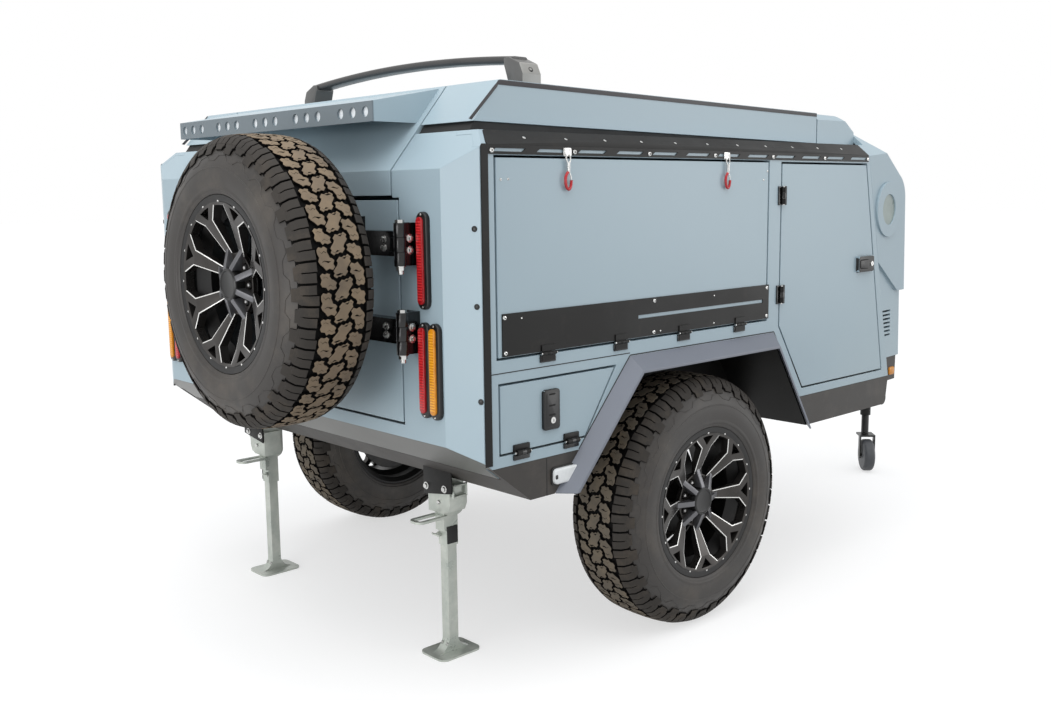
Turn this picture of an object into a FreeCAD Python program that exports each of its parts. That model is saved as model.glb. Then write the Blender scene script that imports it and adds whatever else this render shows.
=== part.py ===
import FreeCAD, Part
import math
import os

# All sizes in millimetres. +X is the front (the towing end), +Y the left side, +Z up.
# While modelling, X = 0 is the wheel axle. The whole part is moved along X when it is
# written, so that its origin lies under the middle of its overall length.

# Wheels and tyres
TYRE_R = 388.0
TYRE_HALF_W = 129.0
TREAD_HALF_W = 88.0
TYRE_WALL = 13.0
RIM_R = 233.0
BEAD_R = 216.0
RIM_HALF_W = 118.0
RIM_WALL = 7.0
DROP_R = 196.0
SPOKE_COUNT = 8
SPOKE_T = 24.0
HUB_R = 62.0
HUB_CAP_R = 44.0
DISC_KINK_R = 172.0
HUB_BACK = 62.0
HUB_FACE = 77.0
RIB_T = 14.0
LUG_R = 60.0
LUG_POCKET_R = 12.5
DRUM_R = 118.0
DRUM_L = 86.0
SPINDLE_R = 22.0
SPINDLE_CLEARANCE = 0.05

# Body shell
BODY_HALF = 868.0
WHEEL_Y = BODY_HALF - 83.0
WALL = 28.0
BODY_BOTTOM = 637.0
FOLD_Z = 1447.0
BODY_TOP = 1487.0
SHOULDER_IN = 48.0
FLANGE_T = 12.0
FLANGE_HALF = BODY_HALF - 123.0
REAR_X = -911.0
REAR_BOTTOM = 690.0
CORNER_X = -868.0
CORNER_HALF = BODY_HALF - 100.0
SLANT_Z = 1393.0
SLANT = 1.165
DEPART = 0.787
BEVEL_Z = 600.0
SKIRT_BOTTOM = 533.0
SKIRT_T = 18.0
FLOOR_T = 18.0
EDGE_TOP_X = 942.5
EDGE_BOTTOM_X = 1137.0

# Nose
NOSE_X = 1272.0
NOSE_LOWER_X = 1250.0
NOSE_TAPER = 5.5
NOSE_STEP_Z = 952.0
NOSE_STEP_TOP = 1066.0
NOSE_STEP_X = 1209.0
NOSE_INSET = 10.0
NOSE_ROUND_Z = 1290.0
NOSE_SLOPE_X = 1222.0
NOSE_SLOPE_Z = 1380.0
NOSE_SKIRT_TOP = 704.0
NOSE_SKIRT_BOTTOM = 612.0
PORT_X = 1108.0
PORT_Z = 1256.0
PORT_R = 64.0
PORT_FLANGE_R = 99.0
PORT_FLANGE_T = 9.0
VENT_SLOTS = 7
VENT_X = 1135.0
VENT_Z0 = 786.0
VENT_PITCH = 15.0
VENT_L = 72.0
VENT_H = 7.0

# Lid, fairing, roof
LID_HALF = BODY_HALF - 88.0
LID_WALL = 20.0
LID_REAR_TOP = 1617.0
LID_FRONT_TOP = 1592.0
LID_FRONT_X = 745.0
LID_FRONT_BOTTOM = 1490.0
LID_REAR_BOTTOM = 1511.0
SEAL_GAP = 0.3
SEAL_W = 20.0
FAIRING_GAP = 6.0
SEAM_X = 990.0
SEAM_Z = 1533.0
FAIRING_TOP_X = 905.0
HATCH_HALF = LID_HALF - 218.0
HATCH_HINGE_X = -500.0
PANEL_T = 25.0
LIP_BOTTOM = 1328.0
VISOR_X = -945.0
VISOR_TOP = 1570.0
VISOR_LIP = 52.0
VISOR_HALF = HATCH_HALF - 22.0
VISOR_T = 5.0
VISOR_HOLE_R = 14.0
VISOR_GROUPS = 5
VISOR_GROUP_PITCH = VISOR_HALF / 2.4
VISOR_HOLE_PITCH = 57.0
BAR_X = -412.0
BAR_HALF = LID_HALF - 245.0
BAR_RISE = 122.0
BAR_W = 60.0
BAR_T = 22.0
BAR_END_RISE = 98.0
BAR_FOOT_HALF = 42.0

# Doors and hatches
GAP = 6.0
DOOR_T = WALL
HINGE_OUT = 8.0
SIDE_HATCH_X0 = -816.5
SIDE_HATCH_X1 = 337.5
SIDE_HATCH_Z0 = 920.0
SIDE_HATCH_Z1 = 1417.5
PLATE_T = 3.0
PLATE_TOP = 1031.0
PLATE_END = 10.0
PLATE_SLOT_Z = 980.0
PLATE_SLOT_X0 = -288.0
PLATE_SLOT_X1 = 315.0
PLATE_SLOT_H = 10.0
FRONT_DOOR_X0 = 414.5
FRONT_DOOR_X1 = 932.0
FRONT_DOOR_TOP = 1414.0
FRONT_DOOR_KINK = 891.0
FRONT_DOOR_BX0 = 558.5
FRONT_DOOR_BX1 = 1080.5
FRONT_DOOR_BOTTOM = 671.0
SMALL_DOOR_X0 = -812.5
SMALL_DOOR_X1 = -388.0
SMALL_DOOR_BX1 = -506.0
SMALL_DOOR_BOTTOM = 672.5
SMALL_DOOR_TOP = 848.0
REAR_DOOR_HALF = CORNER_HALF - 178.0
REAR_DOOR_BOTTOM = 731.0
REAR_DOOR_TOP = 1316.0

# Wheel arches and flares
ARCH_TOP = 834.0
ARCH_REAR = -314.0
ARCH_FRONT = 357.0
ARCH_REAR_FOOT = -582.0
ARCH_FRONT_FOOT = 551.0
FLARE_OUT = 45.0
FLARE_RISE = 39.0
FLARE_REAR = 30.0
FLARE_FRONT = 43.0
FLARE_T = 8.0
BOX_INNER = BODY_HALF - 268.0
BOX_T = 6.0

# Chassis
RAIL_W = 50.0
RAIL_OUT = 430.0
ARM_START_X = 1080.0
ARM_END_X = 2500.0
ARM_END_IN = 35.0
COUPLING_TIP = 2650.0
BALL_X = 2602.0
BALL_R = 25.3
BALL_Z = 622.0
BALL_MOUTH = 16.0
LUG_X = 2380.0
LUG_Y = 90.0
LUG_T = 10.0
LUG_HOLE_R = 8.0
AXLE_TUBE = 80.0
AXLE_X = 150.0
AXLE_HALF = WHEEL_Y - 285.0
ARM_T = 30.0
CROSS_XS = (-640.0, -250.0, 540.0, 1030.0)
CROSS_W = 50.0

# Spare wheel
SPARE_X = -1143.0
SPARE_Y = -294.0
SPARE_Z = 1104.0
PIN_X = REAR_X - 54.0
PIN_Y = -(CORNER_HALF - 98.0)
PIN_R = 9.0
HINGE_ZS = (1206.0, 980.0)
HINGE_H = 108.0

# Stabiliser legs
LEG_X = -695.0
LEG_Y = RAIL_OUT + 70.0
LEG_PIN_Z = 495.0
LEG_W = 40.0
LEG_INNER_W = 33.0
LEG_SPLIT_Z = 326.0
LEVER_Z = 412.0
LEVER_L = 105.0
FOOT_L = 150.0
FOOT_W = 114.0
FOOT_T = 6.0
EAR_T = 5.0
EAR_GAP = 3.0

# Jockey stand
JOCKEY_X = 2080.0
JOCKEY_Y = -250.0
JOCKEY_PIN_Z = 587.0
MAST_R = 24.0
JOCKEY_R = 75.0
JOCKEY_W = 50.0
JOCKEY_TRAIL = 45.0
JOCKEY_TURN = 224.0
JOCKEY_SLEEVE_Z = 262.0

# Lamps
LAMP_T = 12.0
LENS_T = 7.0
LAMP_HIGH = (1040.0, 1287.0)
LAMP_LOW = (759.0, 1007.0)
LAMP_W = 43.0
LAMP_HIGH_W = 51.0
LAMP_EDGE = 5.0

V = FreeCAD.Vector
parts = {}


def box(x0, x1, y0, y1, z0, z1):
    return Part.makeBox(x1 - x0, y1 - y0, z1 - z0, V(x0, y0, z0))


def cyl(x, y, z, ax, r, h):
    return Part.makeCylinder(r, h, V(x, y, z), V(*ax))


def face_xz(points, y):
    # a point with four numbers is an arc through its first two to its last two
    edges = []
    last = V(points[0][0], y, points[0][1])
    first = last
    for p in list(points[1:]) + [points[0]]:
        end = V(p[-2], y, p[-1])
        if len(p) == 4:
            edges.append(Part.Arc(last, V(p[0], y, p[1]), end).toShape())
        else:
            edges.append(Part.makeLine(last, end))
        last = end
    return Part.Face(Part.Wire(edges))


def prism_y(points, y0, y1):
    return face_xz(points, y0).extrude(V(0, y1 - y0, 0))


def prism_x(points, x0, x1):
    pts = [V(x0, p[0], p[1]) for p in points]
    return Part.Face(Part.makePolygon(pts + [pts[0]])).extrude(V(x1 - x0, 0, 0))


def prism_z(points, z0, z1, lean=0.0):
    pts = [V(p[0], p[1], z0) for p in points]
    return Part.Face(Part.makePolygon(pts + [pts[0]])).extrude(V(lean, 0, z1 - z0))


def flip_y(shape):
    return shape.mirror(V(0, 0, 0), V(0, 1, 0))


def both(shape):
    return [shape, flip_y(shape)]


def cut(shape, *tools):
    for tool in tools:
        for t in (tool if isinstance(tool, list) else [tool]):
            shape = shape.cut(t)
    return shape


def fuse(*shapes):
    out = shapes[0]
    for s in shapes[1:]:
        out = out.fuse(s)
    return out.removeSplitter()


def grow(points, d):
    # moves every side of a closed outline out by d (in if negative), or each by its own d
    n = len(points)
    ds = d if isinstance(d, (list, tuple)) else [d] * n
    area = sum(points[i][0] * points[(i + 1) % n][1] - points[(i + 1) % n][0] * points[i][1]
               for i in range(n))
    side = 1.0 if area > 0 else -1.0
    lines = []
    for i in range(n):
        a = points[i]
        b = points[(i + 1) % n]
        l = math.hypot(b[0] - a[0], b[1] - a[1])
        nx = (b[1] - a[1]) / l
        nz = -(b[0] - a[0]) / l
        s = side * ds[i]
        lines.append((a[0] + nx * s, a[1] + nz * s, b[0] - a[0], b[1] - a[1]))
    out = []
    for i in range(n):
        x1, z1, dx1, dz1 = lines[i - 1]
        x2, z2, dx2, dz2 = lines[i]
        t = ((x2 - x1) * dz2 - (z2 - z1) * dx2) / (dx1 * dz2 - dz1 * dx2)
        out.append((x1 + t * dx1, z1 + t * dz1))
    return out


def strip(points, t):
    # a bent sheet of thickness t on the right of an open run of points
    sides = []
    for a, b in zip(points[:-1], points[1:]):
        l = math.hypot(b[0] - a[0], b[1] - a[1])
        sides.append(((b[1] - a[1]) / l * t, -(b[0] - a[0]) / l * t, b[0] - a[0], b[1] - a[1]))
    back = [(points[0][0] + sides[0][0], points[0][1] + sides[0][1])]
    for i in range(1, len(points) - 1):
        nx1, nz1, dx1, dz1 = sides[i - 1]
        nx2, nz2, dx2, dz2 = sides[i]
        x, z = points[i]
        k = ((nx2 - nx1) * dz2 - (nz2 - nz1) * dx2) / (dx1 * dz2 - dz1 * dx2)
        back.append((x + nx1 + k * dx1, z + nz1 + k * dz1))
    back.append((points[-1][0] + sides[-1][0], points[-1][1] + sides[-1][1]))
    return list(points) + back[::-1]


def edge_x(z):
    return EDGE_TOP_X + (BODY_TOP - z) * (EDGE_BOTTOM_X - EDGE_TOP_X) / (BODY_TOP - BODY_BOTTOM)


def slant_x(z):
    return REAR_X + (z - SLANT_Z) / SLANT


def depart_x(z):
    return REAR_X + (REAR_BOTTOM - z) / DEPART


def lid_top(x):
    x0 = slant_x(LID_REAR_TOP)
    return LID_REAR_TOP + (x - x0) * (LID_FRONT_TOP - LID_REAR_TOP) / (LID_FRONT_X - x0)


def lid_bottom(x):
    x0 = slant_x(LID_REAR_BOTTOM)
    return (LID_REAR_BOTTOM
            + (x - x0) * (LID_FRONT_BOTTOM - LID_REAR_BOTTOM) / (LID_FRONT_X - x0))


# Cutting blocks that give the shell its slants
BIG = 3000.0
front_of_edge = prism_y([(edge_x(BIG), BIG), (edge_x(-BIG), -BIG), (BIG * 2, -BIG), (BIG * 2, BIG)],
                        -BIG, BIG)
behind_edge = prism_y([(edge_x(BIG), BIG), (edge_x(-BIG), -BIG), (-BIG * 2, -BIG), (-BIG * 2, BIG)],
                      -BIG, BIG)


def above_slant(d=0.0):
    x = slant_x(0) + d
    return prism_y([(x, 0), (x + BIG / SLANT, BIG), (-BIG * 2, BIG), (-BIG * 2, 0)], -BIG, BIG)


def below_departure(d=0.0):
    x = depart_x(0) + d
    return prism_y([(x, 0), (x - BIG / DEPART, BIG), (-BIG * 3, BIG), (-BIG * 3, 0)], -BIG, BIG)


def outside_shoulder(d=0.0):
    slope = SHOULDER_IN / (BODY_TOP - FOLD_Z)
    rise = 400.0
    y = BODY_HALF - d
    w = [(y, FOLD_Z), (y - slope * rise, FOLD_Z + rise), (BIG, FOLD_Z + rise), (BIG, FOLD_Z)]
    w = prism_x(w, -BIG, BIG)
    return both(w)


def outside_facet(d=0.0):
    # the blocks outside the nose's side facets, which lean with the panel edge
    lean = edge_x(BIG) - edge_x(0)
    run = 600.0
    x = edge_x(0)
    back = run * math.tan(math.radians(NOSE_TAPER))
    w = prism_z([(x - run, BODY_HALF - d + back), (x + run, BODY_HALF - d - back), (x + run, BIG),
                 (x - run, BIG)], 0, BIG, lean)
    return both(w)


def hinge(length, r, pin_r, gap, fixed_leaf, moving_leaf, t):
    # A butt hinge along +Z, axis at the origin, leaves towards -X (fixed) and +X (moving),
    # lying at +Y = r. Returns the fixed half with its pin, and the moving half.
    third = length / 3.0
    fixed = None
    for z0 in (0.0, 2 * third + gap):
        b = cyl(0, 0, z0, (0, 0, 1), r, third - gap)
        b = fuse(b, box(-fixed_leaf, 0, r - t, r, z0, z0 + third - gap))
        fixed = b if fixed is None else fixed.fuse(b)
    fixed = fuse(fixed, cyl(0, 0, 0, (0, 0, 1), pin_r, length))
    fixed = fuse(fixed, box(-fixed_leaf, -r, r - t, r, 0, length))
    moving = cyl(0, 0, third, (0, 0, 1), r, third)
    moving = fuse(moving, box(0, moving_leaf, r - t, r, third, 2 * third))
    moving = fuse(moving, box(r, moving_leaf, r - t, r, 0, length))
    moving = cut(moving, cyl(0, 0, -1, (0, 0, 1), pin_r + SPINDLE_CLEARANCE, length + 2))
    return fixed, moving


# Side panel outlines
side_section = [(BODY_HALF, BODY_BOTTOM), (BODY_HALF, FOLD_Z),
                (BODY_HALF - SHOULDER_IN, BODY_TOP), (FLANGE_HALF, BODY_TOP),
                (FLANGE_HALF, BODY_TOP - FLANGE_T),
                (BODY_HALF - SHOULDER_IN - FLANGE_T, BODY_TOP - FLANGE_T),
                (BODY_HALF - WALL, FOLD_Z), (BODY_HALF - WALL, BODY_BOTTOM)]
arch_lip = [(ARCH_REAR_FOOT, SKIRT_BOTTOM), (ARCH_REAR, ARCH_TOP), (ARCH_FRONT, ARCH_TOP),
            (ARCH_FRONT_FOOT, SKIRT_BOTTOM)]


def arch(d, drop, at_body=True):
    # the arch outline moved out by d on its three upper sides, from the flare's seat on the
    # body or from its outer lip, its feet at the given drop
    seat = (FLARE_REAR, FLARE_RISE, FLARE_FRONT) if at_body else (0.0, 0.0, 0.0)
    g = grow(arch_lip, [seat[0] + d, seat[1] + d, seat[2] + d, 0.0])
    z = SKIRT_BOTTOM - drop
    k0 = (g[1][0] - g[0][0]) / (g[1][1] - g[0][1])
    k1 = (g[2][0] - g[3][0]) / (g[2][1] - g[3][1])
    return [(g[0][0] + k0 * (z - g[0][1]), z), g[1], g[2], (g[3][0] + k1 * (z - g[3][1]), z)]


hatch_outline = [(SIDE_HATCH_X0, SIDE_HATCH_Z0), (SIDE_HATCH_X1, SIDE_HATCH_Z0),
                 (SIDE_HATCH_X1, SIDE_HATCH_Z1), (SIDE_HATCH_X0, SIDE_HATCH_Z1)]
door_outline = [(FRONT_DOOR_BX0, FRONT_DOOR_BOTTOM), (FRONT_DOOR_BX1, FRONT_DOOR_BOTTOM),
                (FRONT_DOOR_X1, FRONT_DOOR_TOP), (FRONT_DOOR_X0, FRONT_DOOR_TOP),
                (FRONT_DOOR_X0, FRONT_DOOR_KINK)]
small_outline = [(SMALL_DOOR_X0, SMALL_DOOR_BOTTOM), (SMALL_DOOR_BX1, SMALL_DOOR_BOTTOM),
                 (SMALL_DOOR_X1, SMALL_DOOR_TOP), (SMALL_DOOR_X0, SMALL_DOOR_TOP)]

# Side panels
THROUGH_SIDE = (BODY_HALF - 300, BODY_HALF + 200)
side = prism_x(side_section, CORNER_X, EDGE_BOTTOM_X + 20)
side = cut(side, front_of_edge, above_slant(), below_departure())
side = cut(side, prism_y(arch(-FLARE_T, 100), *THROUGH_SIDE))
for outline in (hatch_outline, door_outline, small_outline):
    side = cut(side, prism_y(grow(outline, GAP), *THROUGH_SIDE))
parts["side_panels"] = both(side)

# Wheel boxes: the trapezoid tunnels behind the arches
outer = prism_y(arch(-FLARE_T, 0), BOX_INNER, BODY_HALF)
inner = prism_y(arch(-FLARE_T - BOX_T, 50), BOX_INNER + BOX_T, BODY_HALF + 10)
wheel_box = cut(outer, inner)
parts["wheel_boxes"] = both(wheel_box)
box_solid = prism_y(arch(-FLARE_T, 50), BOX_INNER, BODY_HALF + 50)

# Fender flares
def flared(d, drop):
    # the solid between the arch outline on the body and the one at the flare's outer lip
    a = [V(p[0], BODY_HALF, p[1]) for p in arch(d, drop)]
    b = [V(p[0], BODY_HALF + FLARE_OUT, p[1]) for p in arch(d, drop, False)]
    faces = [Part.Face(Part.makePolygon(a + [a[0]])), Part.Face(Part.makePolygon(b + [b[0]]))]
    for i in range(len(a)):
        j = (i + 1) % len(a)
        faces.append(Part.Face(Part.makePolygon([a[i], a[j], b[j], b[i], a[i]])))
    solid = Part.Solid(Part.Shell(faces))
    if solid.Volume < 0:
        solid.reverse()
    return solid


flare = cut(flared(0, 0), flared(-FLARE_T, 60))
parts["fender_flares"] = both(flare)

# Floor
floor = box(depart_x(BODY_BOTTOM) + 45, NOSE_LOWER_X - WALL, -BODY_HALF + WALL,
            BODY_HALF - WALL, BODY_BOTTOM, BODY_BOTTOM + FLOOR_T)
floor = cut(floor, both(box_solid), outside_facet(WALL))

# Rear frame: corner posts, sill and the slanted upper corners
corner_plan = [(REAR_X, -CORNER_HALF), (CORNER_X, -BODY_HALF), (-760, -BODY_HALF),
               (-760, BODY_HALF), (CORNER_X, BODY_HALF), (REAR_X, CORNER_HALF)]
inner_plan = grow(corner_plan, -WALL)
rear = prism_z(corner_plan, BEVEL_Z, BODY_TOP)
rear_void = cut(prism_z(inner_plan, BODY_BOTTOM + FLOOR_T, BODY_TOP - FLANGE_T),
                above_slant(WALL * math.hypot(1, SLANT) / SLANT))
rear_void = cut(rear_void, prism_y([(REAR_X, REAR_BOTTOM + 12), (depart_x(BODY_BOTTOM) + 45, BODY_BOTTOM + 12),
                                    (REAR_X, BODY_BOTTOM)], -BIG, BIG))
rear = cut(rear, rear_void, above_slant(), below_departure(), outside_shoulder())
rear = cut(rear, box(CORNER_X, -700, -BIG, BIG, BODY_BOTTOM - 60, SLANT_Z),
           box(-800, -700, -BIG, BIG, 0, BIG), both(box(CORNER_X, -700, BODY_HALF - WALL, BIG, 0, FOLD_Z)))
sill = prism_y([(REAR_X, REAR_BOTTOM), (REAR_X, REAR_DOOR_BOTTOM - GAP),
                (REAR_X + WALL, REAR_DOOR_BOTTOM - GAP), (REAR_X + WALL, REAR_BOTTOM + 8),
                (depart_x(BODY_BOTTOM) + 45, BODY_BOTTOM + FLOOR_T),
                (depart_x(BODY_BOTTOM) + 45, BODY_BOTTOM),
                (depart_x(BODY_BOTTOM) + 8, BODY_BOTTOM), (depart_x(BEVEL_Z) + 8, BEVEL_Z),
                (depart_x(BEVEL_Z), BEVEL_Z)], -BODY_HALF + WALL, BODY_HALF - WALL)
corner_cut = prism_z([(REAR_X, -CORNER_HALF), (CORNER_X, -BODY_HALF), (REAR_X - 290, -BODY_HALF - 200),
                      (REAR_X - 290, -CORNER_HALF + 200)], 0, BIG)
sill = cut(sill, both(corner_cut))
rear = fuse(rear, sill)
rear = cut(rear, parts["side_panels"])
rear = cut(rear, box(REAR_X - 50, -700, -REAR_DOOR_HALF - GAP, REAR_DOOR_HALF + GAP,
                     REAR_DOOR_BOTTOM - GAP, REAR_DOOR_TOP + GAP))
rear = cut(rear, box(REAR_X - 50, -700, -HATCH_HALF - GAP, HATCH_HALF + GAP,
                     REAR_DOOR_TOP, BODY_TOP + 50))
parts["rear_frame"] = [rear]
floor = cut(floor, rear)
parts["floor_panel"] = [floor]

# Nose: one shell with the upper part standing proud of the lower part
upper_outline = [(edge_x(NOSE_STEP_TOP), NOSE_STEP_TOP), (NOSE_STEP_X, NOSE_STEP_Z),
                 (NOSE_X, NOSE_STEP_Z), (NOSE_X, NOSE_ROUND_Z),
                 (NOSE_X - 11, NOSE_ROUND_Z + 52, NOSE_SLOPE_X, NOSE_SLOPE_Z),
                 (SEAM_X, SEAM_Z), (SEAM_X, BODY_TOP), (EDGE_TOP_X, BODY_TOP)]
upper = cut(prism_y(upper_outline, -BODY_HALF, BODY_HALF), outside_facet(), outside_shoulder())
lower_outline = [(edge_x(NOSE_STEP_TOP), NOSE_STEP_TOP), (NOSE_STEP_X, NOSE_STEP_Z),
                 (NOSE_LOWER_X, NOSE_STEP_Z), (NOSE_LOWER_X, NOSE_SKIRT_TOP),
                 (edge_x(NOSE_SKIRT_TOP), NOSE_SKIRT_TOP)]
lower = cut(prism_y(lower_outline, -BODY_HALF, BODY_HALF), outside_facet(NOSE_INSET))
nose_void = [(800, BODY_BOTTOM - 100), (NOSE_LOWER_X - WALL, BODY_BOTTOM - 100),
             (NOSE_LOWER_X - WALL, NOSE_STEP_Z + WALL), (NOSE_X - WALL, NOSE_STEP_Z + WALL),
             (NOSE_X - WALL, NOSE_ROUND_Z - 5), (NOSE_SLOPE_X - WALL / 2, NOSE_SLOPE_Z - WALL),
             (SEAM_X - 30, SEAM_Z - 14), (800, SEAM_Z - 14)]
nose_void = prism_y(nose_void, -BODY_HALF, BODY_HALF)
nose_void = cut(nose_void, outside_facet(WALL), outside_shoulder(WALL))
nose = cut(fuse(upper, lower), nose_void)
facet_n = V(math.sin(math.radians(NOSE_TAPER)), -math.cos(math.radians(NOSE_TAPER)), 0)


def facet_y(x, z, d=0.0):
    return -(BODY_HALF - d - (x - edge_x(z)) * math.tan(math.radians(NOSE_TAPER)))


port_at = V(PORT_X, facet_y(PORT_X, PORT_Z), PORT_Z)
port_hole = Part.makeCylinder(PORT_R, 160, port_at - facet_n * 80, facet_n)
vents = []
for i in range(VENT_SLOTS):
    z = VENT_Z0 + i * VENT_PITCH
    vents.append(box(VENT_X - VENT_L / 2, VENT_X + VENT_L / 2, -BIG, -BODY_HALF + 2 * WALL, z,
                     z + VENT_H))
nose = cut(nose, both(port_hole), *[both(v) for v in vents])
parts["nose_shell"] = [nose]

# Round lamps in the nose facets
flange = Part.makeCylinder(PORT_FLANGE_R, PORT_FLANGE_T + 30, port_at - facet_n * 30, facet_n)
flange = flange.common(prism_y([(edge_x(BIG) + 3, BIG), (edge_x(-BIG) + 3, -BIG), (BIG * 2, -BIG),
                                (BIG * 2, BIG)], -BIG, BIG))
body_side = cut(box(PORT_X - 400, PORT_X + 300, -BODY_HALF, 0, PORT_Z - 250, PORT_Z + 250), outside_facet())
flange = cut(flange, body_side)
port_plug = Part.makeCylinder(PORT_R - 1, 46, port_at - facet_n * 40, facet_n)
port = cut(fuse(flange, port_plug),
           Part.makeCylinder(PORT_R - 8, 30, port_at - facet_n * 2, facet_n))
parts["porthole_frames"] = both(port)
lens = Part.makeCylinder(PORT_R - 8, 6, port_at - facet_n * 2, facet_n)
parts["porthole_lenses"] = both(lens)

# Roof fairing in front of the lid
fair_outline = [(LID_FRONT_X + FAIRING_GAP, BODY_TOP), (LID_FRONT_X + FAIRING_GAP, LID_FRONT_TOP),
                (FAIRING_TOP_X - 25, LID_FRONT_TOP - 3),
                (FAIRING_TOP_X, LID_FRONT_TOP - 6, FAIRING_TOP_X + 18, LID_FRONT_TOP - 16),
                (SEAM_X, SEAM_Z), (SEAM_X, BODY_TOP)]
fair = prism_y(fair_outline, -LID_HALF, LID_HALF)
fair_in = [(LID_FRONT_X + FAIRING_GAP + LID_WALL, BODY_TOP - 50),
           (LID_FRONT_X + FAIRING_GAP + LID_WALL, LID_FRONT_TOP - LID_WALL - 3),
           (FAIRING_TOP_X - 10, LID_FRONT_TOP - LID_WALL - 6), (SEAM_X + 10, SEAM_Z - 32),
           (SEAM_X + 10, BODY_TOP - 50)]
fair = cut(fair, prism_y(fair_in, -LID_HALF + LID_WALL, LID_HALF - LID_WALL), nose,
           outside_shoulder(-60))
parts["roof_fairing"] = [fair]

# Skirts: dark lower panels at the sides, under the tail and under the nose
rear_skirt = arch(0, 0)
k = (rear_skirt[1][0] - rear_skirt[0][0]) / (rear_skirt[1][1] - rear_skirt[0][1])
kf = (rear_skirt[2][0] - rear_skirt[3][0]) / (rear_skirt[2][1] - rear_skirt[3][1])
drop = BODY_BOTTOM - SKIRT_BOTTOM
skirt_rear = [(depart_x(SKIRT_BOTTOM), SKIRT_BOTTOM), (rear_skirt[0][0], SKIRT_BOTTOM),
              (rear_skirt[0][0] + k * drop, BODY_BOTTOM), (depart_x(BODY_BOTTOM), BODY_BOTTOM)]
skirt_front = [(rear_skirt[3][0], SKIRT_BOTTOM), (edge_x(BODY_BOTTOM) - 45, SKIRT_BOTTOM),
               (edge_x(BODY_BOTTOM) - 18, SKIRT_BOTTOM + 6, edge_x(BODY_BOTTOM) - 12,
                SKIRT_BOTTOM + 30),
               (edge_x(BODY_BOTTOM), BODY_BOTTOM), (rear_skirt[3][0] + kf * drop, BODY_BOTTOM)]
skirts = both(prism_y(skirt_rear, BODY_HALF - SKIRT_T, BODY_HALF))
skirts += both(prism_y(skirt_front, BODY_HALF - SKIRT_T, BODY_HALF))
tail = cut(prism_y(strip([(depart_x(BEVEL_Z), BEVEL_Z), (depart_x(SKIRT_BOTTOM), SKIRT_BOTTOM)], -6),
                   -BODY_HALF + SKIRT_T, BODY_HALF - SKIRT_T), rear)
skirts.append(tail)
nose_skirt_outline = [(edge_x(NOSE_SKIRT_TOP), NOSE_SKIRT_TOP), (NOSE_LOWER_X - 6, NOSE_SKIRT_TOP),
                      (NOSE_LOWER_X - 14, NOSE_SKIRT_BOTTOM), (edge_x(BODY_BOTTOM) + 1, NOSE_SKIRT_BOTTOM),
                      (edge_x(BODY_BOTTOM) + 1, BODY_BOTTOM)]
nose_skirt = cut(prism_y(nose_skirt_outline, -BODY_HALF, BODY_HALF), outside_facet(NOSE_INSET + 8),
                 nose_void)
skirts.append(nose_skirt)
parts["lower_skirts"] = skirts

# Black guards on the rear corners, and the slotted rails under the lid
guard = box(CORNER_X + 2, CORNER_X + 25, BODY_HALF, BODY_HALF + 3, BODY_BOTTOM + 11, FOLD_Z + 3)
guard = cut(guard, above_slant())
RAIL_X0 = CORNER_X + 25
RAIL_X1 = EDGE_TOP_X
RAIL_Z0 = 1425.5
SLOT_PITCH = 150.0
SLOT_X0 = -774.0
SLOT_L = 100.0
SLOT_H = 8.0
SLOT_LEAN = 6.0
SLOT_N = 12
shoulder_len = math.hypot(SHOULDER_IN, BODY_TOP - FOLD_Z)
f = (shoulder_len - 4) / shoulder_len
rail = prism_x(strip([(BODY_HALF, RAIL_Z0), (BODY_HALF, FOLD_Z),
                      (BODY_HALF - SHOULDER_IN * f, FOLD_Z + (BODY_TOP - FOLD_Z) * f)], 3.0),
               RAIL_X0, RAIL_X1)
rail = cut(rail, prism_y([(RAIL_X0 - 1, FOLD_Z + 5), (RAIL_X0 + 32, BODY_TOP + 8), (RAIL_X0 - 1, BODY_TOP + 8)],
                         0, BIG))
for i in range(SLOT_N):
    x = SLOT_X0 + i * SLOT_PITCH
    z = (RAIL_Z0 + FOLD_Z) / 2
    h = SLOT_H / 2
    rail = cut(rail, prism_y([(x - SLOT_L / 2 - SLOT_LEAN, z - h), (x + SLOT_L / 2 - SLOT_LEAN, z - h),
                              (x + SLOT_L / 2 + SLOT_LEAN, z + h), (x - SLOT_L / 2 + SLOT_LEAN, z + h)],
                             BODY_HALF - 1, BODY_HALF + 10))
    if i < SLOT_N - 1:
        mid = V(x + SLOT_PITCH / 2, BODY_HALF - SHOULDER_IN / 2, (FOLD_Z + BODY_TOP) / 2)
        d = V(0, BODY_TOP - FOLD_Z, SHOULDER_IN)
        d.normalize()
        rail = cut(rail, Part.makeCylinder(5.5, 30, mid - d * 10, d))
parts["side_trim"] = both(fuse(rail, guard))

# Seal under the lid: a frame that thickens towards the rear
seal_x0 = slant_x(BODY_TOP) + 12
seal_top = [(seal_x0, BODY_TOP), (LID_FRONT_X - 3, BODY_TOP),
            (LID_FRONT_X - 3, lid_bottom(LID_FRONT_X - 3) - SEAL_GAP),
            (seal_x0 + 18, lid_bottom(seal_x0) - SEAL_GAP)]
seal_half = LID_HALF - 8
seal = prism_y(seal_top, -seal_half, seal_half)
seal = cut(seal, box(seal_x0 + 34, LID_FRONT_X - SEAL_W, -seal_half + SEAL_W, seal_half - SEAL_W, 0, BIG))
seal = cut(seal, box(-BIG, HATCH_HINGE_X, -HATCH_HALF - GAP, HATCH_HALF + GAP, 0, BIG))
parts["lid_seal"] = [seal]

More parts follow.
